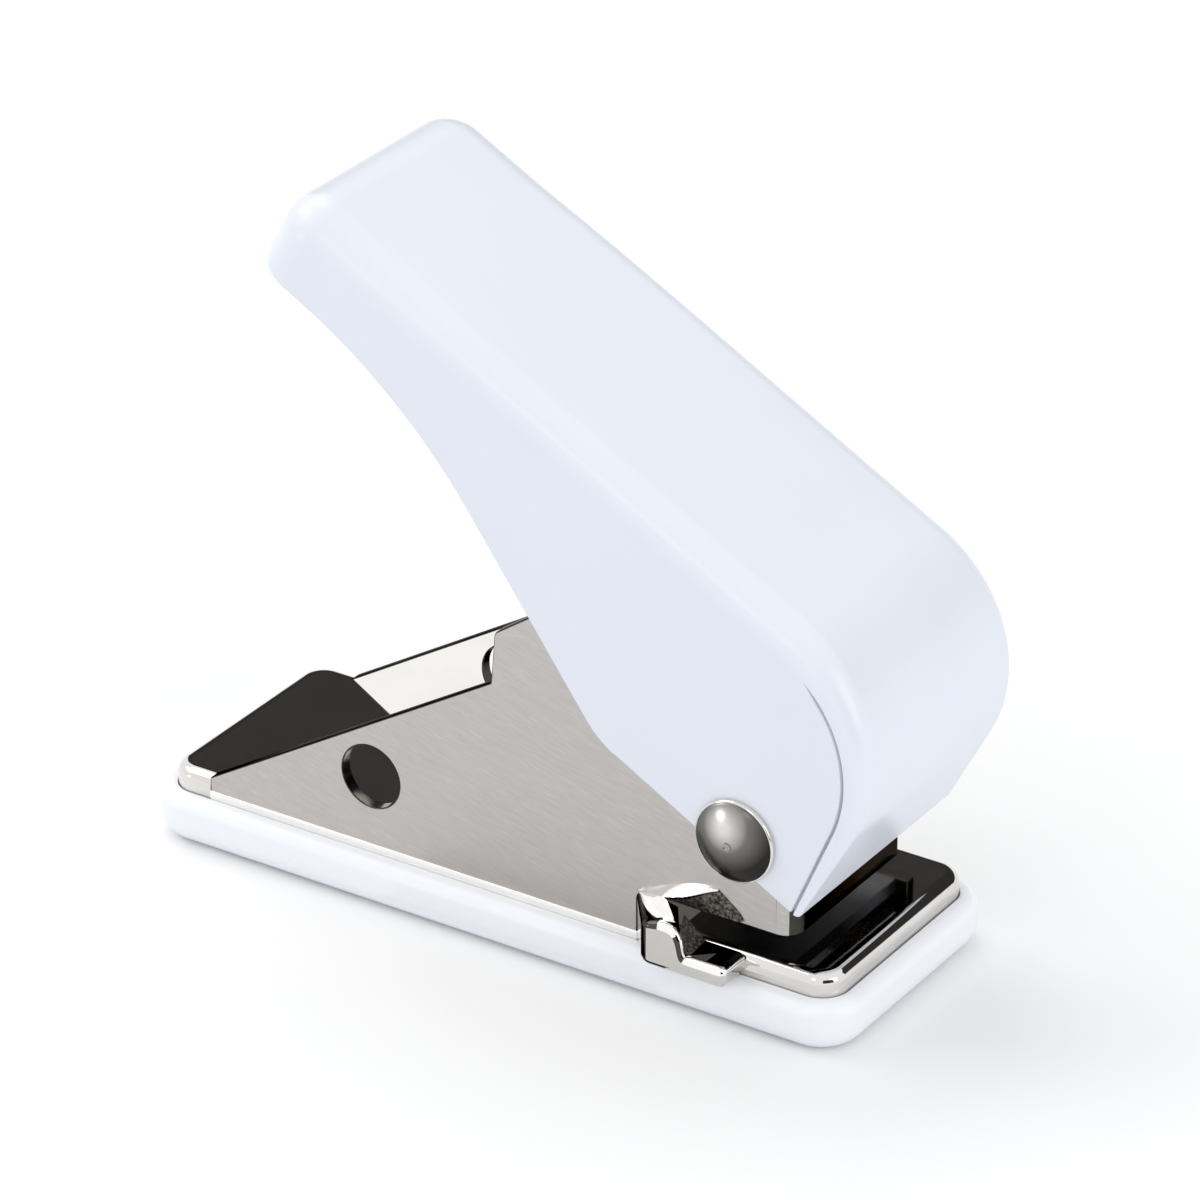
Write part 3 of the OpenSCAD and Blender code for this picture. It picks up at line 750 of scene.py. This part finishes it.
# Outer wall's upper line, from the rear to the front: distance along the side, height and lip radius
GUIDE_SIDE = (
    (19.0, 11.6, 0.5), (21.0, 11.0, 0.5), (22.5, 10.95, 0.6), (23.5, 11.1, 0.75), (24.3, 11.25, 0.8),
    (25.4, 11.25, 0.8), (25.9, 11.1, 0.75), (26.25, 10.8, 0.65), (26.5, 10.3, 0.6), (26.7, 9.6, 0.55),
    (26.85, 8.9, 0.55), (27.05, 8.35, 0.6), (27.4, 8.08, 0.7), (27.9, 8.0, 0.8), (28.6, 8.0, 0.8),
    (30.0, 8.0, 0.8), (31.7, 8.0, 0.8),
)
# Arch of the leaf where it meets the wall, and the point of it at which the leaf ends
GUIDE_ARCH = (
    (19.0, 12.3), (19.9, 12.62), (22.5, 14.02), (25.9, 15.28), (28.1, 15.7), (29.3, 15.52),
    (30.05, 15.03), (31.9, 13.61), (32.55, 12.75),
)
LEAF_END = 5
# Ridge and leaf's lower edge, from the rear corner towards the mouth
GUIDE_RIDGE = (
    (19.0, -14.5, 12.3), (21.4, -15.55, 13.2), (23.7, -16.55, 13.9), (26.1, -15.85, 14.35),
    (28.3, -15.2, 15.25), (29.3, -14.7, 15.5),
)
# Lens between the ridge and the outer wall: its upper and front edge, then its lower edge
LENS_HIGH = (
    (19.1, -14.52, 12.3), (21.4, -15.55, 13.2), (23.7, -16.55, 13.9), (25.0, -17.35, 13.3),
    (26.1, -18.1, 12.3),
)
LENS_LOW = (
    (19.1, -14.52, 12.3), (21.35, -16.4, 11.75), (23.3, -17.65, 11.9), (24.9, -18.05, 12.1),
    (26.1, -18.1, 12.3),
)


def along_line(points, count):
    """A line through points, resampled smoothly to count points."""
    points = [Vector(p) for p in points]
    lengths = [0.0]
    for a, b in zip(points, points[1:]):
        lengths.append(lengths[-1] + (b - a).length)
    line = []
    for k in range(count):
        at = lengths[-1] * k / (count - 1)
        i = min(len(points) - 2, max(j for j in range(len(points)) if lengths[j] <= at + 1e-9))
        t = (at - lengths[i]) / (lengths[i + 1] - lengths[i])
        before = points[max(0, i - 1)]
        after = points[min(len(points) - 1, i + 2)]
        p, q = points[i], points[i + 1]
        m, n = (q - before) / 2, (after - p) / 2
        line.append(
            p * (2 * t ** 3 - 3 * t ** 2 + 1) + m * (t ** 3 - 2 * t ** 2 + t)
            + q * (3 * t ** 2 - 2 * t ** 3) + n * (t ** 3 - t ** 2)
        )
    return line


def guide_casting():
    """Shelf and hood in one casting."""
    out_y, floor_z, end_x = guide_low.y, guide_low.z, guide_high.x
    foot_z = floor_z + GUIDE_FOOT_R
    shell = Shell()

    # Plan of the outer side, from the wall at the rear round to the wall at the front
    rear = Vector((throat_x, near_y))
    slant = Vector((throat_x + GUIDE_SLANT, out_y))
    front = Vector((end_x, out_y))
    plan = [rear.lerp(slant, t) for t in (0, 0.25, 0.5)]
    plan += arc_corner(rear, slant, front, GUIDE_REAR_R, 10)
    corner_end = len(plan)
    start_x = plan[-1].x
    plan += [Vector((x, out_y)) for x, z, r in GUIDE_SIDE if x > start_x + 0.05]
    plan += arc_corner(slant, front, Vector((end_x, near_y)), GUIDE_FRONT_R, 6)[1:]
    plan += [Vector((end_x, near_y - GUIDE_END)), Vector((end_x, near_y))]

    def side_at(p):
        for (x0, z0, r0), (x1, z1, r1) in zip(GUIDE_SIDE, GUIDE_SIDE[1:]):
            if p.x <= x1:
                t = max(0.0, (p.x - x0) / (x1 - x0))
                return z0 + (z1 - z0) * t, r0 + (r1 - r0) * t
        return GUIDE_SIDE[-1][1:]

    count = len(plan)
    heights = [side_at(p) for p in plan]
    inward = []
    for i in range(count):
        a, b = plan[max(0, i - 1)], plan[min(count - 1, i + 1)]
        run = unit(b - a)
        inward.append(Vector((-run.y, run.x)))
    inward[0] = Vector((1, 0))
    inward[-1] = Vector((-1, 0))

    def row(depth, z_of):
        moved = [p + way * depth for p, way in zip(plan, inward)]
        return shell.row([(p.x, min(near_y, p.y), z_of(i)) for i, p in enumerate(moved)])

    rows = []
    for depth, z in fillet(GUIDE_FOOT_R, foot_z, GUIDE_FOOT_R, -90, 0, FOOT_STEPS):
        rows.append(row(depth, lambda i, z=z: z))
    shell.cap([rows[0]])
    rows.append(row(0, lambda i: (foot_z + heights[i][0]) / 2))
    rows.append(row(0, lambda i: heights[i][0]))
    for k in range(1, LIP_STEPS + 1):
        turn = math.radians(90 * k / LIP_STEPS)
        points = []
        for i in range(count):
            z, r = heights[i]
            j, m = max(0, i - 1), min(count - 1, i + 1)
            flat = (plan[m] - plan[j]).length
            climb = heights[m][0] - heights[j][0]
            size = math.hypot(flat, climb)
            run = (plan[m] - plan[j]) / flat
            lean = run * (-climb / size * r * math.sin(turn))
            rise = flat / size * r * math.sin(turn)
            depth = r * (1 - math.cos(turn))
            points.append((
                min(end_x, plan[i].x + lean.x + inward[i].x * depth),
                min(near_y, plan[i].y + lean.y + inward[i].y * depth),
                min(z + rise, deck_z) if plan[i].x > LEVEL_X else z + rise,
            ))
        lip = shell.row(points)
        rows.append(lip)

    def side_finish(level, i):
        """Plated outside, painted shade round the rear corner, on the lip's rear part and on the front
        edge, polished on the rest of the lip.
        """
        x = plan[i].x
        wall_end = FOOT_STEPS + 2
        if level < FOOT_STEPS:
            return PLATED
        if 3 <= i < corner_end - 3:
            return PAINTED_SHADE
        if level < wall_end:
            return PLATED
        if x < SHADED_LIP_X:
            return PAINTED_SHADE
        if SHADED_EDGE_X[0] < x < SHADED_EDGE_X[1] and level < wall_end + 4:
            return PAINTED_SHADE
        return POLISHED_HIGHLIGHT

    for level, (a, b) in enumerate(zip(rows, rows[1:])):
        for i in range(count - 1):
            shell.face((a[i], a[i + 1], b[i + 1], b[i]), side_finish(level, i))

    # Shelf, level with the deck, in painted shade
    shelf = [i for i in range(count) if shell.points[lip[i]].z < deck_z + 0.05 and plan[i].x > SHELF_X]
    foot_x = throat_x + RAMP_FOOT
    foot = shell.row([(foot_x, near_y, deck_z), (foot_x, shell.points[lip[shelf[0]]].y, deck_z)])
    shell.face([foot[0], foot[1]] + [lip[i] for i in shelf], PAINTED_SHADE)

    # Roof: lens over the outer wall and leaf up to the wall
    # The lens, leaf and lip take a brighter copy of the plated nickel: polished, and painted as their
    # highlight
    eave_end = max(i for i in range(count) if plan[i].x < EAVE_X)
    eave = lip[:eave_end + 1]
    high_points = along_line(LENS_HIGH, len(eave))
    low_points = along_line(LENS_LOW, len(eave))
    lens_rows = [shell.row(high_points)]
    for part in (0.25, 0.5, 0.75):
        swell = 4 * part * (1 - part)
        lens_rows.append(shell.row([
            a.lerp(b, part) + LENS_SWELL * swell for a, b in zip(high_points, low_points)
        ]))
    lens_rows.append(shell.row(low_points))
    for a, b in zip(lens_rows, lens_rows[1:]):
        shell.strip(a, b, False, POLISHED_HIGHLIGHT)
    # Groove between the lens and the lip, in painted shade
    groove = shell.row([p.lerp(shell.points[i], 0.5) + GROOVE_SINK for p, i in zip(low_points, eave)])
    shell.strip(lens_rows[-1], groove, False, PAINTED_SHADE)
    shell.strip(groove, eave, False, PAINTED_SHADE)
    leaf_arch, fall_arch = GUIDE_ARCH[:LEAF_END + 1], GUIDE_ARCH[LEAF_END:]
    arch = along_line([(x, near_y, z) for x, z in leaf_arch], LEAF_STEPS)
    brow_points = along_line(GUIDE_RIDGE, LEAF_STEPS)
    root = shell.row(arch)
    brow = shell.row(brow_points)
    middle = shell.row([a.lerp(b, 0.5) + LEAF_SWELL for a, b in zip(arch, brow_points)])
    shell.strip(root, middle, False, POLISHED_HIGHLIGHT)
    shell.strip(middle, brow, False, POLISHED_HIGHLIGHT)

    # Hollow under the leaf in painted shade, its rough cut face and the roof's thickness, also in
    # painted shade
    hollow = [(x, near_y - HOLLOW_OUT, z) for x, z in leaf_arch + ((fall_arch[0][0], jaw_z),)]
    shell.cap([shell.row(hollow)], PAINTED_SHADE)
    under = [p for p in brow_points if p.x > LEAF_X - 0.1]
    upper = shell.row(under)
    rim = shell.row([p + LEAF_T for p in under])
    shell.strip(upper, rim, False, PAINTED_SHADE)
    foot_line = []
    for p in under:
        t = (p.x - LEAF_X) / LEAF_RUN
        out = ROUGH_FOOT_OUT[0] + ROUGH_FOOT_OUT[1] * (1 - t)
        foot_line.append((ROUGH_FOOT_X + ROUGH_FOOT_RUN * t, near_y - out, jaw_z + ROUGH_FOOT_H))
    low = shell.row(foot_line)
    shell.strip(rim, low, False, ROUGH)
    fall = shell.row([(x, near_y - FALL_OUT, z) for x, z in fall_arch])
    for a, b in zip(fall, fall[1:]):
        shell.face((low[-1], a, b), ROUGH)
    shell.face((rim[-1], fall[0], low[-1]), ROUGH)

    # Ramp inside, which stops the flight's edge
    met = [i for i in range(count) if RAMP_EDGE_X[0] < plan[i].x < RAMP_EDGE_X[1]]
    inner = [shell.points[lip[i]].copy() for i in met]
    inner.sort(key=lambda p: p.z)
    edge = [foot[1]] + shell.row(inner)
    top_x = throat_x + RAMP_TOP
    top_z = deck_z + (foot_x - top_x) * RAMP_SLOPE
    back = []
    for i in edge:
        p = shell.points[i]
        back.append((max(top_x, foot_x - (p.z - deck_z) / RAMP_SLOPE), near_y, min(top_z, p.z)))
    back = shell.row(back)
    shell.strip(edge, back, False, ROUGH)
    last = shell.points[edge[-1]]
    # A triangle of painted shade inside the hood, above the ramp
    shade_top = shell.row([last, SHADE_POINT, (top_x, near_y, top_z)])
    shell.face(shade_top, PAINTED_SHADE)
    finishes = [plated, cast, cream, painted_shade_nickel]
    place(shell.build("guide_casting", finishes, 38), "base", "mirror_nickel", "flight_guide")


# Rivet


def lathe(shell, profile, at, axis_sign, dome_rows, steps=64):
    """Turns a profile (radius, height) about the cross axis; rows after the dome are bright."""
    rows = []
    for radius, height in profile:
        rows.append(shell.row([
            (
                at.x + radius * math.cos(2 * math.pi * i / steps),
                at.y + axis_sign * height,
                at.z + radius * math.sin(2 * math.pi * i / steps),
            )
            for i in range(steps)
        ]))
    for i, (a, b) in enumerate(zip(rows, rows[1:])):
        shell.strip(a, b, finish=0 if i < dome_rows else 1)
    return rows


def head_profile(head_r, core_r):
    """From the crown's dimple over the dome, round the edge and in under the head."""
    crown_h = HEAD_H - HEAD_EDGE_H
    dome_r = (head_r ** 2 + crown_h ** 2) / (2 * crown_h)
    dimple_edge = math.sqrt(DIMPLE_R ** 2 - (DIMPLE_R - DIMPLE_H) ** 2)
    profile = []
    for i in range(DIMPLE_STEPS + 1):
        r = dimple_edge * i / DIMPLE_STEPS
        profile.append((max(r, 1e-4), HEAD_H + DIMPLE_R - DIMPLE_H - math.sqrt(DIMPLE_R ** 2 - r ** 2)))
    soft = HEAD_SOFT_R
    for i in range(1, DOME_STEPS + 1):
        r = dimple_edge + (head_r - soft - dimple_edge) * i / DOME_STEPS
        profile.append((r, HEAD_H - dome_r + math.sqrt(dome_r ** 2 - r ** 2)))
    edge_z = profile[-1][1]
    for i in range(1, EDGE_STEPS + 1):
        a = math.radians(90 * i / EDGE_STEPS)
        drop = soft * HEAD_SOFT_DROP * (1 - math.cos(a))
        profile.append((head_r - soft + soft * math.sin(a), edge_z - drop))
    profile += [(head_r, HEAD_FOOT), (head_r - HEAD_FOOT, 0), (core_r, 0)]
    return profile


def rivet(name, node, seat_y, outward, core_r, core_end):
    head_r = (rivet_high.x - rivet_low.x) / 2
    shell = Shell()
    at = Vector((pivot.x, seat_y, pivot.z))
    profile = head_profile(head_r, core_r)
    profile.append((core_r, -abs(core_end - seat_y)))
    rows = lathe(shell, profile, at, outward, DIMPLE_STEPS + 1 + DOME_STEPS)
    shell.cap([rows[0]])
    shell.cap([rows[-1]])
    place(shell.build(name, [button, mirror]), "base", "mirror_nickel", node)


# Handle


def handle_profile():
    """Outer profile from the tail block over the top and down the nose.

    Each point comes with the radius of the edge bend there.
    """
    tail_top = Vector((-HANDLE_TAIL, HANDLE_TOP))
    nose_top = Vector((HANDLE_NOSE, HANDLE_TOP))
    nose = Vector((HANDLE_NOSE, -HANDLE_DROP))
    start = Vector((-HANDLE_TAIL + TAIL_BLOCK, HANDLE_TOP))
    nose_arc = arc_corner(tail_top, nose_top, nose, NOSE_R, NOSE_STEPS)
    points = []
    for i in range(TOP_STEPS):
        t = i / TOP_STEPS
        tail_share = max(0, 1 - t * BEND_FADE) ** 2
        points.append((start.lerp(nose_arc[0], t), TOP_BEND_R + (TAIL_BEND_R - TOP_BEND_R) * tail_share))
    for i, p in enumerate(nose_arc):
        points.append((p, TOP_BEND_R + (NOSE_BEND_R - TOP_BEND_R) * i / NOSE_STEPS))
    for i in range(1, DROP_STEPS + 1):
        t = i / DROP_STEPS
        points.append((nose_arc[-1].lerp(nose, t), NOSE_BEND_R + (LIP_BEND_R - NOSE_BEND_R) * t))
    return points


def cheek_edge():
    """Lower edge of a cheek, from the tail's lip to the heel."""
    tail_low = HANDLE_TOP - TAIL_DEPTH
    tail = Vector((-HANDLE_TAIL, tail_low))
    knee = Vector((-HANDLE_HEEL - (tail_low + HANDLE_DROP) / math.tan(CHEEK_SLOPE), tail_low))
    heel = Vector((-HANDLE_HEEL, -HANDLE_DROP))
    nose = Vector((HANDLE_NOSE, -HANDLE_DROP))
    points = arc_corner(tail + Vector((0, 5)), tail, knee, TAIL_LIP_R, 8)
    points += arc_corner(tail, knee, heel, SWEEP_R, 30)
    return points + arc_corner(knee, heel, nose, HEEL_R, 14)


def height_at(line, u):
    """Height of a line at u, where the line runs forward."""
    for a, b in zip(line, line[1:]):
        if b.x > a.x and a.x - 1e-9 <= u <= b.x + 1e-9:
            return a.y + (b.y - a.y) * (u - a.x) / (b.x - a.x)
    return line[0].y


def world(u, v, y):
    """Point of the handle's own frame, open, in the part's frame."""
    cos, sin = math.cos(OPEN_ANGLE), math.sin(OPEN_ANGLE)
    return Vector((pivot.x + u * cos + v * sin, y, pivot.z - u * sin + v * cos))


def handle_shell():
    profile = handle_profile()
    count = len(profile)
    line = [p for p, r in profile]
    bends = [r for p, r in profile]
    seam_start = TOP_STEPS + SEAM_START
    half = handle_w / 2
    flat_steps, bend_steps, corner_steps = 6, 9, 14
    low_line = cheek_edge()
    block_x = line[0].x

    def normal_of(i):
        if i == 0:
            return Vector((0, -1))
        run = unit(line[min(count - 1, i + 1)] - line[i - 1])
        return Vector((run.y, -run.x))

    normals = [normal_of(i) for i in range(count)]

    def bend(radius, k):
        """Inset and drop of the edge bend at step k, from the cheek to the top."""
        a = math.pi / 2 * k / bend_steps
        return radius * (1 - math.cos(a)), radius * (1 - math.sin(a))

    def section(i, depth):
        """Points across the handle at profile point i, near to far, at a depth inside the sheet."""
        r = max(bends[i] - depth, 0.05)
        top = line[i] + normals[i] * depth
        width = half - depth
        side = []
        for k in range(bend_steps + 1):
            inset_k, drop = bend(r, k)
            side.append((top + normals[i] * drop, width - inset_k))
        flat = [(top, -(width - r) * (1 - 2 * k / flat_steps)) for k in range(1, flat_steps)]
        return [(p, -y) for p, y in side] + flat + side[::-1]

    def tail_path(depth):
        """Plan of the tail block, from the near cheek round to the far one."""
        width = half - depth
        tail_u = -HANDLE_TAIL + depth
        r = TAIL_CORNER_R - depth
        corner = Vector((tail_u, -width))
        near = arc_corner(Vector((0, -width)), corner, Vector((tail_u, width)), r, corner_steps)
        far = [Vector((p.x, -p.y)) for p in near[::-1]]
        ends = [Vector((block_x, -width)), Vector((block_x, width))]
        return [ends[0]] + near + far + [ends[1]]

    shell = Shell()
    skins = []
    for depth in (0.0, HANDLE_T):
        width = half - depth
        rows = [shell.row([world(p.x, p.y, y) for p, y in section(i, depth)]) for i in range(count)]
        for a, b in zip(rows, rows[1:]):
            shell.strip(a, b, False)

        # Tail block: rings round its plan, then the flat top
        path = tail_path(depth)
        rings = []
        for k in range(bend_steps + 1):
            inset_k, drop = bend(TAIL_BEND_R - depth, k)
            moved = inset(path, -inset_k, False)
            moved[0].x = moved[-1].x = block_x
            rings.append(shell.row([world(p.x, HANDLE_TOP - depth - drop, p.y) for p in moved]))
        for a, b in zip(rings, rings[1:]):
            shell.strip(a, b, False)
        shell.cap([rings[-1] + rows[0][bend_steps + flat_steps - 1:bend_steps:-1]])

        # Walls of the tail block's corners and end, with a rounded lower edge on the outer skin
        hem_mid = HEM_R * ROUND_MID
        hem = [(0, HEM_R), (hem_mid, hem_mid), (HEM_R, 0)] if depth == 0.0 else [(0, 0)]
        wall = [rings[0][1:-1]]
        for back, up in hem:
            moved = inset(path, -back, False)[1:-1]
            wall.append(shell.row([
                world(q.x, height_at(low_line, p.x) + up, q.y) for p, q in zip(path[1:-1], moved)
            ]))
        for a, b in zip(wall, wall[1:]):
            shell.strip(a, b, False)

        # Cheeks
        corner_u = path[1].x
        cheeks = []
        for side in (-1, 1):
            column = 0 if side < 0 else -1
            tops = [section(i, depth)[column][0] for i in range(count)]
            upper = [row[column] for row in rows]
            y = side * width
            lip = upper
            lip_line = tops
            if depth == 0.0:
                open_at = [min(1.0, max(0.0, (i - seam_start) / SEAM_RUN)) for i in range(count)]

                def seam_row(across, deep):
                    return shell.row([
                        world(*(p + normals[i] * across * open_at[i]), y - side * deep * open_at[i])
                        for i, p in enumerate(tops)
                    ])

                lip_mid = ROUND_MID * SEAM_LIP_R
                steps = [
                    (0, SEAM_DEPTH), (SEAM_W, SEAM_DEPTH), (SEAM_W, SEAM_LIP_R),
                    (SEAM_W + lip_mid, lip_mid), (SEAM_W + SEAM_LIP_R, 0),
                ]
                last = upper
                for across, deep in steps:
                    row = seam_row(across, deep)
                    shell.strip(last, row, False)
                    last = row
                lip = last
                seam_end = SEAM_W + SEAM_LIP_R
                lip_line = [p + normals[i] * seam_end * open_at[i] for i, p in enumerate(tops)]
            edge_line = [Vector((corner_u, height_at(low_line, corner_u)))]
            edge_line += [p for p in low_line if p.x > corner_u + 0.2] + [lip_line[-1]]
            edges = []
            for back, up in hem:
                moved = inset(edge_line, up, False)
                moved[0] = edge_line[0] + Vector((0, up))
                moved[-1] = lip_line[-1]
                edges.append(shell.row([world(p.x, p.y, y - side * back) for p in moved]))
            for a, b in zip(edges, edges[1:]):
                shell.strip(a, b, False)
            hole = shell.row([world(p.x, p.y, y) for p in circle(0, 0, PIVOT_HOLE_R)])
            corner_top = shell.row([world(corner_u, tops[0].y, y)])
            shell.cap([corner_top + lip + edges[0][::-1], hole])
            cheeks.append((edges[-1], hole))
        skins.append((rows, wall[-1], cheeks))
    (outer_rows, outer_wall, outer_cheeks), (inner_rows, inner_wall, inner_cheeks) = skins
    for (edge_a, hole_a), (edge_b, hole_b) in zip(outer_cheeks, inner_cheeks):
        shell.strip(edge_a, edge_b, False)
        shell.strip(hole_a, hole_b)
    shell.strip(outer_wall, inner_wall, False)
    shell.strip(outer_rows[-1], inner_rows[-1], False)
    piece = shell.build("handle_shell", [enamel], 40)
    place(piece, "lever", "white_enamel", "handle")


# Return spring


def spring_wire():
    steps, sides = 20, 12
    radius = (spring_high.x - spring_low.x) / 2 - WIRE_R
    low, high = spring_low.z + WIRE_R, spring_high.z - WIRE_R
    total = int(SPRING_TURNS * steps)
    shell = Shell()
    rows = []
    for i in range(total + 1):
        angle = 2 * math.pi * i / steps
        out = Vector((math.cos(angle), math.sin(angle), 0))
        centre = Vector((punch_x, 0, low + (high - low) * i / total)) + out * radius
        turns = [2 * math.pi * k / sides for k in range(sides)]
        rows.append(shell.row([
            centre + WIRE_R * (out * math.cos(a) + Vector((0, 0, math.sin(a)))) for a in turns
        ]))
    for a, b in zip(rows, rows[1:]):
        shell.strip(a, b)
    shell.cap([rows[0]])
    shell.cap([rows[-1]])
    piece = place(shell.build("spring_wire", [wire_steel], 60), "base", "spring_steel", "return_spring")
    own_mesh(piece)


base_boot()
deck_plate()
near_wall_plate()
far_wall_plate()
guide_casting()
rivet("rivet_near", "pivot_rivet", -handle_w / 2 - HEAD_GAP, -1, SHANK_R, handle_w / 2)
rivet("rivet_far", "rivet_cap", handle_w / 2 + HEAD_GAP, 1, POST_R, POST_END)
handle_shell()
spring_wire()
for node, material in (("guide_bridge", steel), ("drive_cam", steel), ("punch_pin", tool_steel)):
    data = frame["nodes"][node].data
    data.materials.clear()
    data.materials.append(material)


# Camera at the photograph's angle
AIM = Vector((-24.17, 44.78, 8.8))
AZIMUTH = math.radians(32.98)
ELEVATION = math.radians(27.67)
DISTANCE = 744.09
LENS = 190.5

back = Vector((
    math.sin(AZIMUTH) * math.cos(ELEVATION),
    -math.cos(AZIMUTH) * math.cos(ELEVATION),
    math.sin(ELEVATION),
))
camera = bpy.data.objects.new("camera", bpy.data.cameras.new("camera"))
camera.data.lens = LENS
camera.data.sensor_width = 36
camera.data.clip_start = 0.01
camera.location = (AIM + back * DISTANCE) * MM
camera.rotation_euler = (-back).to_track_quat("-Z", "Y").to_euler()
bpy.context.scene.collection.objects.link(camera)
bpy.context.scene.camera = camera


# Floor, cards and light


def quad(name, corners, material):
    mesh = bpy.data.meshes.new(name)
    mesh.from_pydata([Vector(c) * MM for c in corners], [], [(0, 1, 2, 3)])
    mesh.materials.append(material)
    item = bpy.data.objects.new(name, mesh)
    bpy.context.scene.collection.objects.link(item)
    return item


def seen_ray(nodes, links):
    """1 for what the camera sees, straight, in a reflection or through a clear piece."""
    path = nodes.new("ShaderNodeLightPath")
    seen = path.outputs["Is Camera Ray"]
    for ray in ("Is Glossy Ray", "Is Transmission Ray"):
        either = nodes.new("ShaderNodeMath")
        either.operation = "MAXIMUM"
        links.new(seen, either.inputs[0])
        links.new(path.outputs[ray], either.inputs[1])
        seen = either.outputs[0]
    return seen


def floor_material():
    """Pale floor that keeps the shadow; it throws back less light than its seen tone would."""
    material, nodes, links, shader = new_material("pale_floor")
    tone = nodes.new("ShaderNodeMix")
    tone.data_type = "RGBA"
    tone.inputs["A"].default_value = (0.82, 0.835, 0.87, 1)
    tone.inputs["B"].default_value = (0.975, 0.965, 0.955, 1)
    links.new(seen_ray(nodes, links), tone.inputs["Factor"])
    links.new(tone.outputs["Result"], shader.inputs["Base Color"])
    shader.inputs["Roughness"].default_value = 0.9
    shader.inputs["Specular IOR Level"].default_value = 0
    return material


def black_card():
    material, nodes, links, shader = new_material("black_card")
    shader.inputs["Base Color"].default_value = (0.034, 0.032, 0.03, 1)
    shader.inputs["Roughness"].default_value = 0.9
    shader.inputs["Specular IOR Level"].default_value = 0
    return material


FLOOR = 4000
floor_corners = [(-FLOOR, -FLOOR, 0), (FLOOR, -FLOOR, 0), (FLOOR, FLOOR, 0), (-FLOOR, FLOOR, 0)]
quad("floor", floor_corners, floor_material())

# Dark cards seen only in reflections: behind the part, low beside it in the cover's contact shadow,
# where it paints that shade into reflections, and standing before its mouth
card = black_card()
dark_cards = (
    quad("rear_card", [(-420, 330, 90), (420, 330, 90), (420, 330, 330), (-420, 330, 330)], card),
    quad("contact_shade_card", [(-14, -23, 0.4), (22, -23, 0.4), (22, -17.2, 0.4), (-14, -17.2, 0.4)], card),
    quad("front_card", [(226, -271, 0), (350, -91, 0), (350, -91, 170), (226, -271, 170)], card),
)
for item in dark_cards:
    item.visible_camera = False
    item.visible_diffuse = False
    item.visible_shadow = False


def area_light(name, at, aim, width, height, power):
    light = bpy.data.lights.new(name, "AREA")
    light.shape = "RECTANGLE"
    light.size = width * MM
    light.size_y = height * MM
    light.energy = power
    item = bpy.data.objects.new(name, light)
    item.location = Vector(at) * MM
    item.rotation_euler = (Vector(aim) - Vector(at)).to_track_quat("-Z", "Y").to_euler()
    bpy.context.scene.collection.objects.link(item)


area_light("left_box", (-640, -190, 690), (0, 0, 25), 620, 460, 1.8)
area_light("rear_box", (-360, 250, 820), (0, 0, 25), 460, 460, 1.3)
area_light("right_box", (800, -160, 330), (0, 0, 25), 420, 420, 1.4)
area_light("front_box", (24, -796, 450), (0, -16, 45), 160, 160, 0.3)
area_light("low_box", (-547, -622, 110), (32, -17, 23), 140, 120, 0.26)

scene_world = bpy.data.worlds.new("studio")
scene_world.use_nodes = True
bpy.context.scene.world = scene_world
world_nodes = scene_world.node_tree.nodes
world_links = scene_world.node_tree.links
ambient = world_nodes["Background"]
ambient.inputs["Color"].default_value = (0.96, 0.98, 1, 1)
ambient.inputs["Strength"].default_value = 0.77
white = world_nodes.new("ShaderNodeBackground")
white.inputs["Color"].default_value = (1, 1, 1, 1)
white.inputs["Strength"].default_value = 1
world_mix = world_nodes.new("ShaderNodeMixShader")
world_links.new(seen_ray(world_nodes, world_links), world_mix.inputs["Fac"])
world_links.new(ambient.outputs["Background"], world_mix.inputs[1])
world_links.new(white.outputs["Background"], world_mix.inputs[2])
world_links.new(world_mix.outputs["Shader"], world_nodes["World Output"].inputs["Surface"])

bpy.context.scene.view_settings.view_transform = "Standard"
